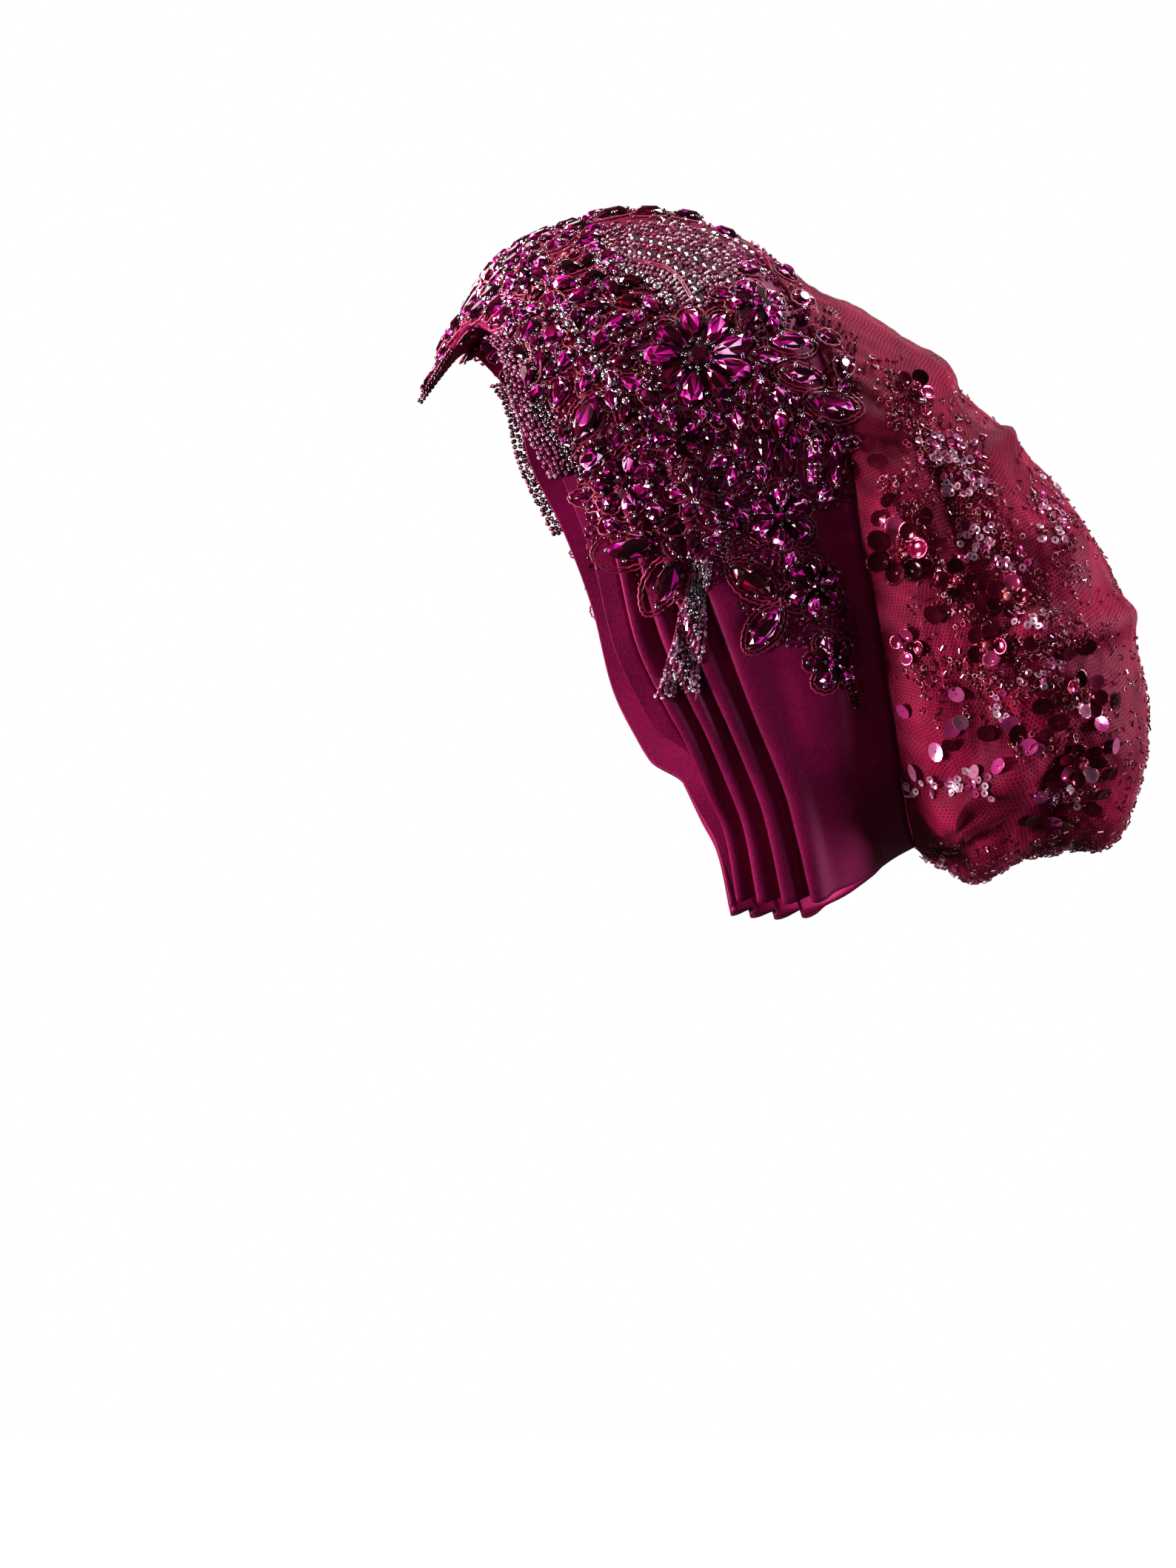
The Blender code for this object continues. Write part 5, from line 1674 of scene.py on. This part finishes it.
# Edge of the embroidered ground, as seen from the left
GROUND = [
    (-63.6, -35.8), (-53, -11.9), (-37.1, 1.3), (-15.9, 9.3), (8, 8), (31.8, 3.3), (52.7, -8.9),
    (66.9, -22.2), (84.1, -38.4), (86.8, -57), (84.2, -78.2), (82.5, -99.1), (68.9, -103), (70.9, -116.6),
    (79.9, -127.2), (84.8, -147.1), (82.2, -165.6), (71.5, -165.6), (63.6, -150.7), (47.3, -149.8),
    (43.1, -138.7), (38.8, -127.2), (29.2, -129.4), (23.9, -138.3), (8.6, -138.1), (4.6, -123.5),
    (-13.2, -123.2), (-13.2, -104.7), (-15.9, -88.8), (-21.2, -78.2), (-25.2, -67.6), (-37.1, -62.3),
    (-39.8, -46.4), (-50.4, -38.4),
]
# Zone of seed beads round the rows of cups on the crown
CROWN_ZONE = [
    (-12, -2), (8, 3.5), (34, 2.5), (48, -3), (57, -11), (55, -20), (44, -17), (40.5, -25), (30, -28),
    (18, -28), (10, -21), (-2, -16), (-12, -11),
]
# Rows of silver cups
CUP_ROWS = [
    [(5, -3.4), (9.5, -4.1), (13.2, -5), (16.6, -6.4), (20.5, -7.3), (24.5, -9.2)],
    [
        (4, -8.6), (10, -9.1), (13.2, -9.6), (16.9, -11.4), (20, -13.2), (22.5, -15), (24.6, -17.3),
        (26, -19.6), (27.8, -21.9), (28.5, -25),
    ],
    [(27.6, -11), (30.5, -13), (33.7, -14.1), (36.7, -16), (39, -18.2), (39.6, -22.5)],
    [(30, -1), (36, -2.4), (42, -5), (47, -9)],
]
# Curved braid over the temple and the rows of cups and seed beads that follow it
TEMPLE_BRAID = [(1.1, -11.1), (9.3, -12.2), (16.2, -13.8), (21.2, -17.8), (24.4, -23.3), (26.2, -26.8)]
HUMP_ROW = [(33, 2.4), (44, -1.5), (52, -9.5), (55, -17)]
DROP_CHAINS = [
    [(-7.4, -11.9), (-0.5, -14), (7.2, -17), (13, -21.2), (17.6, -26.9)],
    [
        (-25.2, -25.2), (-21.2, -30.5), (-16.4, -37.1), (-11.9, -43.7), (-7.4, -50.9), (-2.7, -57),
        (1.5, -62),
    ],
]
# Stems of gunmetal beads between two lines of braid
STEMS = [
    [(33.9, -72), (34.4, -86), (36, -101.5)], [(33.7, -70), (40.5, -79), (46.4, -90.2)],
    [(38, -104), (37.5, -112), (34.5, -118)], [(-30, -60), (-24, -72), (-18.5, -84)],
    [(80, -160), (83, -167), (84, -172.5)], [(6, -40.5), (10, -52), (14.5, -60)],
]


# Beads and tubes of the fields lie this far apart; the front has this many tries
FIELD_GAP = 1.75
CROWN_GAP = 1.25
FRONT_BEADS = 1900


def in_low_field(back, up):
    """Whether a place lies in the field round the lower flowers."""
    return back > 30.0 and up < -106.0


class TURBAN_OT_bead_fields(bpy.types.Operator):
    """Sew the rows and fields of seed beads, cups and short glass tubes, on both sides"""

    bl_idname = "turban.bead_fields"
    bl_label = "Bead fields"

    def execute(self, context):
        heap = Heap(401)
        # The lower flowers are on the left alone, and so are the beads round them
        low = Heap(402)
        rng = heap.rng
        seed = sizes().bead / MM / 2.0
        for row in CUP_ROWS:
            sew_row(heap, row, 1.5, "metal", 3.2, 0.25, 0.75, name="cup", wander=0.15, rise=0.8)
        fine = [beside(TEMPLE_BRAID, shift) for shift in (1.6, -1.6, -3.2)]
        for row in fine:
            sew_row(heap, row, seed, "bead", 1.7, 0.4, 0.6, wander=0.15)
        for row in DROP_CHAINS:
            sew_row(heap, row, 1.6, "metal", 3.7, 0.2, 0.8, name="ball", rise=0.8, wander=0.2)
            for shift in (-2.2, 2.2):
                sew_row(heap, beside(row, shift), seed * 0.85, "metal", 2.0, 0.6, 0.0, wander=0.3)
        for row in STEMS:
            field = low if in_low_field(*row[0]) else heap
            for shift in (-0.9, 0.9):
                sew_row(field, beside(row, shift), 0.85, "metal", 1.7, 0.6, 0.1, wander=0.15)
            for shift in (-2.3, 2.3):
                spots = [seen_spot(*place)[0] for place in beside(row, shift)]
                spots = np.array([spot for spot in spots if spot is not None])
                if len(spots) > 3:
                    field.cord(spots, sizes().cord / MM / 2.0, "braid", closed=False)
        for row in (beside(TEMPLE_BRAID, 0.4), beside(TEMPLE_BRAID, -0.4), HUMP_ROW):
            spots = [seen_spot(*place) for place in row]
            points = [spot + normal * 0.9 for spot, normal in spots if spot is not None]
            heap.cord(np.array(points), sizes().cord / MM / 2.0, "braid", closed=False)
        rows = np.concatenate([resampled(row, 2.0) for row in CUP_ROWS + fine + DROP_CHAINS + STEMS])
        for back, up in scattered(rng, (-66.0, -172.0), (90.0, 12.0), FIELD_GAP, 30000):
            if not inside(GROUND, back, up) or inside(CROWN_ZONE, back, up) or blocked(back, up, 0.5):
                continue
            spot, normal = seen_spot(back, up)
            if spot is not None and self.room(rows, back, up) >= 1.3:
                self.sew(low if in_low_field(back, up) else heap, spot, normal, seed)
        for back, up in scattered(rng, (-12.0, -28.0), (57.0, 4.0), CROWN_GAP, 16000):
            if not inside(CROWN_ZONE, back, up) or blocked(back, up, 0.3):
                continue
            spot, normal = seen_spot(back, up)
            if spot is None or self.room(rows, back, up) < 1.1:
                continue
            # Gunmetal towards the front, lilac towards the back
            dark = rng.random() < 0.85 - 0.055 * (back + 8.0)
            lean = (normal + Vector(rng.normal(size=3) * 0.45)).normalized()
            point = spot + normal * rng.uniform(0.4, 1.0)
            finish = "metal" if dark else "bead"
            heap.add("bead", point, frame_on(lean, 0.0), seed * 0.9, finish, 0.7, 0.32)
        shares, places = rng.uniform((0.0, -0.85), (0.3, 1.76), size=(FRONT_BEADS, 2)).T
        normals = band_normal(shares, places)
        for start, normal in zip(band_at(shares, places) + normals * PROBE_OVER, normals):
            # Where the cloth turns away from the left, up to the middle
            if normal[0] < 0.5:
                self.sew(heap, *carrier().find_nearest(Vector(start))[:2], seed)
        heap.build_pair("bead_field")
        low.build("bead_field_low")
        return {"FINISHED"}

    def room(self, rows, back, up):
        """Distance from a place to the nearest of the sewn rows."""
        return np.min(np.abs(rows - (back, up)).max(axis=1))

    def sew(self, heap, spot, normal, seed):
        """One bead or tube; they are paler over the forehead."""
        draw = heap.rng.random()
        pale = 0.3 if spot.y < 0.0 and spot.z > -60.0 else 0.05
        lean = (normal + Vector(heap.rng.normal(size=3) * 0.3)).normalized()
        axes = frame_on(lean, heap.rng.uniform(0.0, math.tau))
        if draw < 0.35:
            heap.add("tube", spot + normal * 0.7, axes, (2.0, 0.5, 0.5), "bead", 0.4, pale)
        elif draw < 0.6:
            heap.add("bead", spot + normal * 0.6, axes, seed * 0.9, "metal", 0.6, pale)
        else:
            heap.add("bead", spot + normal * 0.6, axes, seed * 0.9, "bead", 0.5, pale + 0.05)


# Share down the rim where the beaded edge starts and ends, and its places across the strip
EDGE_SHARES = (3.0 / 14.0, 6.0 / 14.0)
EDGE_PLACES = (-1.42, -0.5)
# The point on the forehead: places in front of the strip, and its reach to each side there
POINT_PLACES = (1.06, 1.7, 2.4, 3.1)
POINT_REACH = (0.045, 0.03, 0.017, 0.004)


class TURBAN_OT_bead_edges(bpy.types.Operator):
    """Sew the bands of seed beads over the rim, and the beaded point on the forehead"""

    bl_idname = "turban.bead_edges"
    bl_label = "Bead edges"

    def execute(self, context):
        seed = sizes().bead / MM / 2.0
        heap = Heap(501)
        # The lower layer, lying under the upper one, gets darker tones: painted shade between the beads
        for level, lift in ((0.9, 0.0), (2.0, 0.35)):
            for row, place in enumerate(np.linspace(*EDGE_PLACES, 5)):
                shares = np.linspace(*EDGE_SHARES, 32) + 0.0016 * (row % 2)
                shares = shares + heap.rng.normal(size=len(shares)) * 0.0008
                places = place + heap.rng.normal(size=len(shares)) * 0.035
                for spot, normal in zip(band_at(shares, places), band_normal(shares, places)):
                    axes = frame_on(Vector(normal), heap.rng.uniform(0.0, 0.6))
                    dark = row == 4 or heap.rng.random() < 0.12
                    finish, tone = ("metal", lift * 0.4) if dark else ("bead", lift)
                    point = spot + normal * (BAND_CLOTH + level)
                    heap.add("bead", point, axes, seed, finish, 0.45, tone)
        for row, place in enumerate((-0.34, -0.16, 0.02)):
            shares = np.linspace(EDGE_SHARES[0] - 0.03, EDGE_SHARES[1] + 0.01, 46)
            places = place + heap.rng.normal(size=len(shares)) * 0.03
            for spot, normal in zip(band_at(shares, places), band_normal(shares, places)):
                axes = frame_on(Vector(normal), heap.rng.uniform(0.0, 3.0))
                point = spot + normal * (BAND_CLOTH + PATCH_CLOTH + 1.0)
                heap.add("bead", point, axes, seed * 0.9, "metal", 0.8, 0.0)
        heap.build_pair("bead_edge", "_rows")
        heap = Heap(502)
        for place in np.arange(-POINT_PLACES[0], -POINT_PLACES[-1], -0.2):
            reach = np.interp(-place, POINT_PLACES, POINT_REACH)
            for share in np.linspace(-reach, reach, max(2, int(reach * 330.0))):
                one = np.array([abs(share)]), np.array([place])
                spot, normal = band_at(*one)[0], band_normal(*one)[0]
                if share < 0.0:
                    spot, normal = spot * LEFT_TO_RIGHT, normal * LEFT_TO_RIGHT
                for level in (0.4, 1.5):
                    finish, tone = ("metal", 0.05) if heap.rng.random() < 0.45 else ("bead", 0.2)
                    axes = frame_on(Vector(normal), heap.rng.uniform(0.0, 3.0))
                    heap.add("bead", spot + normal * level, axes, seed * 0.9, finish, 0.5, tone)
        for place in (-1.2, -1.75, -2.25):
            one = np.array([0.0]), np.array([place])
            seat = Seat(Vector(band_at(*one)[0]), Vector(band_normal(*one)[0]), math.pi / 2.0)
            axes = seat.axes(seat.normal, 0.0)
            half = 3.4 * (1.0 + 0.25 * place) + 2.2
            scale = (half, half * 0.5, 2.0)
            heap.add("marquise", seat.spot + seat.normal * 2.0, axes, scale, "stone", lift=0.05)
        heap.build("brow_point_beads", replaces=["brow_point"])
        return {"FINISHED"}


# Bead tassel over the pleats: its middle line as seen from the left, and its width at both ends
TASSEL = {"from": (28, -121), "to": (21.5, -168), "start": 4.5, "end": 10.5}


class TURBAN_OT_tassels(bpy.types.Operator):
    """Hang the flat bead tassel over the pleats, on each side"""

    bl_idname = "turban.tassels"
    bl_label = "Bead tassels"

    def execute(self, context):
        heap = Heap(601)
        seed = sizes().bead / MM / 2.0
        start, end = TASSEL["from"], TASSEL["to"]
        tilt = math.degrees(math.atan2(end[1] - start[1], end[0] - start[0]))
        seat = seen_seat((start[0] + end[0]) / 2.0, (start[1] + end[1]) / 2.0, tilt)
        long = math.dist(start, end)
        strands = 8
        for strand in range(strands):
            side = strand / (strands - 1) - 0.5
            split = 0.9 if side > 0.0 else -0.9
            for step in np.linspace(0.0, 1.0 if side < 0.0 else 0.93, int(long / 1.3)):
                step = step + heap.rng.uniform(-0.012, 0.012)
                width = TASSEL["start"] * (1.0 - step) + TASSEL["end"] * step
                y = side * width + 0.3 * math.sin(step * 11.0 + strand * 2.0) + split * step
                for level in (0.7, 1.7):
                    point, normal = seat.lay(long * (step - 0.5), y + heap.rng.uniform(-0.3, 0.3), level)
                    gun = heap.rng.random() < (0.75 if strand in (3, 4) or step < 0.3 else 0.15)
                    lift = 0.4 if step > 0.62 else 0.25
                    finish = "metal" if gun else "bead"
                    if heap.rng.random() < 0.2:
                        turn = heap.rng.uniform(-0.3, 0.3)
                        heap.add("tube", point, seat.axes(normal, turn), (2.4, 0.55, 0.55), finish, 0.6, lift)
                    else:
                        lean = (normal + Vector(heap.rng.normal(size=3) * 0.6)).normalized()
                        heap.add("bead", point, frame_on(lean, 0.0), seed * 0.9, finish, 0.6, lift)
        for side in (-0.6, 0.0, 0.6):
            steps = np.linspace(0.0, 1.0, 40)
            width = TASSEL["start"] * (1.0 - steps) + TASSEL["end"] * steps
            edge = [seat.lay(long * (step - 0.5), side * wide, 0.6)[0] for step, wide in zip(steps, width)]
            heap.cord(np.array(edge), sizes().cord / MM / 2.0, "braid", closed=False)
        heap.build_pair("bead_tassel", "_strands")
        return {"FINISHED"}


# Cupped sequin flowers on the net: seen place, petals and spread
SEQUIN_FLOWERS = charted(
    "name back up petals spread twin",
    ("sequin_flower_a", 105, -58, 5, 8, True), ("sequin_flower_b", 100, -116, 7, 12.5, True),
    ("sequin_flower_c", 120, -127, 4, 8, False), ("sequin_flower_d", 139, -133, 5, 8.5, True),
    ("sequin_flower_e", 131, -150, 5, 8, False), ("sequin_flower_f", 103, -150, 4, 7, False),
    ("sequin_flower_g", 165, -168, 7, 9.5, True), ("sequin_flower_h", 164, -192, 7, 9.5, False),
)


def sew_flower(heap, seat, petals, spread, heart):
    """Cupped petals round a heart of beads, each tipped up by its own amount."""
    half = spread * 0.36
    broad = min(half * 1.1, math.pi * spread * 0.66 / petals)
    base, _ = seat.lay(0.0, 0.0, 0.8)
    for petal in range(petals):
        angle = math.tau * petal / petals + heap.rng.uniform(-0.12, 0.12)
        tip = heap.rng.uniform(0.08, 0.5)
        flat = seat.axes(seat.normal, angle)
        out = flat[0] * math.cos(tip) + flat[2] * math.sin(tip)
        axes = np.array((out, flat[1], np.cross(out, flat[1])))
        place = np.array(base) + out * (spread - half)
        heap.add("petal", place, axes, (half, broad, half), "sequin", 1.0, 0.0)
    top = np.array(base + seat.normal * 1.5)
    around = seat.axes(seat.normal, 0.0)
    if heart == "stamens":
        for _ in range(26):
            angle, reach = heap.rng.uniform(0.0, math.tau), heap.rng.uniform(0.4, 3.2)
            spoke = around[0] * math.cos(angle) + around[1] * math.sin(angle)
            first, last = spoke * 0.8 + around[2] * 0.6, around[2] * 0.8 - spoke * 0.6
            axes = np.array((first, np.cross(around[2], spoke), last))
            place = top + spoke * reach - around[2] * 0.5
            heap.add("tube", place, axes, (2.2, 0.45, 0.45), "glass", 0.7, 0.3)
        return
    heap.add("ball", top + around[2] * 0.5, around, 1.6, "glass", 0.5, 0.5)
    for _ in range(7):
        angle = heap.rng.uniform(0.0, math.tau)
        spoke = around[0] * math.cos(angle) + around[1] * math.sin(angle)
        lean = Vector(around[2] + heap.rng.normal(size=3) * 0.4).normalized()
        place = top + spoke * heap.rng.uniform(1.6, 2.8)
        heap.add("bead", place, frame_on(lean, 0.0), 0.8, "glass", 0.8, 0.2)


class TURBAN_OT_sequin_flowers(bpy.types.Operator):
    """Sew the cupped sequin flowers on the net"""

    bl_idname = "turban.sequin_flowers"
    bl_label = "Sequin flowers"

    def execute(self, context):
        for seed, flower in enumerate(SEQUIN_FLOWERS):
            heap = Heap(700 + seed)
            seat = seen_seat(flower["back"], flower["up"], slope=6.0)
            heart = "stamens" if flower["spread"] > BIG_FLOWER else "pearl"
            sew_flower(heap, seat, flower["petals"], flower["spread"], heart)
            heap.build_pair(flower["name"], "_set", flower["twin"])
        return {"FINISHED"}


# Small cup sequins on the net, seen from the left: middle of each cluster, its spread and how many
CUP_CLUSTERS = [
    (121, -79, 9, 5, 26), (124, -92, 9, 4, 22), (127, -113, 6, 7, 22), (154, -94, 5, 7, 20),
    (155, -108, 5, 6, 18), (112, -201, 12, 3, 18), (127, -200, 6, 5, 14), (106, -226, 3, 6, 9),
    (117, -227, 3, 6, 9), (140, -118, 6, 5, 10), (110, -80, 4, 4, 6), (150, -160, 8, 5, 14),
    (134, -172, 6, 5, 10), (157, -203, 8, 5, 14), (146, -140, 6, 4, 10),
]
PINK_DISCS = [
    (101.5, -173.6), (119.8, -167.2), (121.6, -177.8), (118.7, -179.7), (104.9, -195.3), (127.2, -195.6),
    (135.2, -194), (145.8, -186.6), (148.7, -187.1), (149.2, -204.3), (155, -212.5), (158.5, -221.3),
    (139.7, -177.8), (113, -188), (171, -178), (176, -186),
]
DARK_DISCS = [
    (117.7, -185.5), (130.9, -181.8), (142, -181.8), (88.6, -78.6), (92, -84), (156, -178), (150, -172),
    (172, -203), (168, -208), (160, -152), (154, -199), (96, -98), (93, -104), (112, -139), (109, -104),
    (147, -149), (152, -182), (158, -214), (177, -170), (166, -150), (146, -212), (175, -196),
]
# Lines of fine glass tubes that run over the net
FIELD_LINES = [
    [(92, -46), (104, -66), (120, -88), (138, -112), (152, -134), (162, -150)],
    [(98, -62), (112, -84), (122, -104), (134, -122)], [(110, -72), (124, -84), (136, -98)],
    [(96, -88), (106, -106), (118, -136), (132, -142)], [(148, -92), (156, -104), (162, -124)],
    [(140, -155), (158, -150), (174, -146)], [(104, -160), (120, -158), (138, -166), (152, -166)],
    [(138, -186), (158, -184)], [(150, -206), (166, -202)], [(134, -146), (150, -156), (160, -176)],
]
# Tries for further tubes, loops and beads all over the net
LOOSE_TUBES = 1300


class TURBAN_OT_net_sequins(bpy.types.Operator):
    """Sew the small cups, discs and fine glass tubes over the net, on both sides"""

    bl_idname = "turban.net_sequins"
    bl_label = "Net sequins"

    def execute(self, context):
        heap = Heap(801)
        rng = heap.rng
        ring = sizes().sequin / MM / 2.0
        for back, up, wide, tall, count in CUP_CLUSTERS:
            for _ in range(count):
                spot, normal = seen_spot(back + rng.uniform(-wide, wide), up + rng.uniform(-tall, tall))
                if spot is None:
                    continue
                lean = (normal + Vector(rng.normal(size=3) * 0.22)).normalized()
                heap.add("cup", spot + normal * 0.8, frame_on(lean, 0.0), ring, "pink", 0.6, 0.35)
        for places, finish in ((PINK_DISCS, "pink"), (DARK_DISCS, "sequin")):
            for back, up in places:
                seat = seen_seat(back, up, slope=2.0)
                lean = (seat.normal + Vector(rng.normal(size=3) * 0.3)).normalized()
                size = rng.uniform(2.9, 3.9)
                axes = frame_on(lean, rng.uniform(0.0, math.tau))
                scale = (size, size * 0.82, size)
                heap.add("disc", seat.spot + seat.normal * 1.3, axes, scale, finish, 0.4, 0.2)
        for line in FIELD_LINES:
            for back, up in resampled(line, 0.36):
                spot, normal = seen_spot(back + rng.normal() * 3.0, up + rng.normal() * 3.0)
                if spot is not None:
                    self.sew_tube(heap, spot, normal)
        shares, places = rng.uniform((0.0, 0.04), (1.0, 0.97), size=(LOOSE_TUBES, 2)).T
        for start in bag_at(shares, places) + bag_normal(shares, places) * 6.0:
            spot, normal, _, _ = carrier().find_nearest(Vector(start))
            # None near the seam, nor on the bare folds of the lower swag
            swag = -221.0 <= spot.z <= -186.0 and spot.y <= 146.0
            if spot.y > 126.0 + 0.35 * spot.z and not swag:
                self.sew_tube(heap, spot, normal)
        heap.build_pair("net_sequins")
        return {"FINISHED"}

    def sew_tube(self, heap, spot, normal):
        """One tube, loop or bead of red glass, lying as it fell."""
        draw = heap.rng.random()
        lean = (normal + Vector(heap.rng.normal(size=3) * 0.3)).normalized()
        axes = frame_on(lean, heap.rng.uniform(0.0, math.tau))
        if draw < 0.45:
            scale = (heap.rng.uniform(1.2, 2.2), 0.34, 0.34)
            heap.add("tube", spot + normal * 0.45, axes, scale, "glass", 0.9, 0.1)
        elif draw < 0.8:
            heap.add("loop", spot + normal * 0.45, axes, 1.15, "glass", 0.9, 0.1)
        else:
            heap.add("bead", spot + normal * 0.45, axes, 0.6, "bead", 0.6, 0.3)


OPERATORS = [
    TURBAN_OT_stage,
    TURBAN_OT_pleated_band,
    TURBAN_OT_crown_bag,
    TURBAN_OT_net_drape,
    TURBAN_OT_applique_net,
    TURBAN_OT_stone_flowers,
    TURBAN_OT_leaf_stones,
    TURBAN_OT_small_stones,
    TURBAN_OT_bead_fields,
    TURBAN_OT_bead_edges,
    TURBAN_OT_tassels,
    TURBAN_OT_sequin_flowers,
    TURBAN_OT_net_sequins,
]


class TURBAN_PT_panel(bpy.types.Panel):
    """Steps that make the turban, in order"""

    bl_idname = "TURBAN_PT_panel"
    bl_label = "Turban"
    bl_space_type = "VIEW_3D"
    bl_region_type = "UI"
    bl_category = "Turban"

    def draw(self, context):
        for group in (context.scene.turban_sizes, context.scene.turban_colours):
            for key in group.bl_rna.properties.keys():
                if key not in ("rna_type", "name"):
                    self.layout.prop(group, key)
        for operator in OPERATORS:
            self.layout.operator(operator.bl_idname)


CLASSES = [TurbanSizes, TurbanColours, *OPERATORS, TURBAN_PT_panel]


def register():
    for item in CLASSES:
        bpy.utils.register_class(item)
    bpy.types.Scene.turban_sizes = bpy.props.PointerProperty(type=TurbanSizes)
    bpy.types.Scene.turban_colours = bpy.props.PointerProperty(type=TurbanColours)


def unregister():
    del bpy.types.Scene.turban_sizes
    del bpy.types.Scene.turban_colours
    for item in reversed(CLASSES):
        bpy.utils.unregister_class(item)


def main():
    register()
    for operator in OPERATORS:
        group, name = operator.bl_idname.split(".")
        getattr(getattr(bpy.ops, group), name)()


if __name__ == "__main__":
    main()
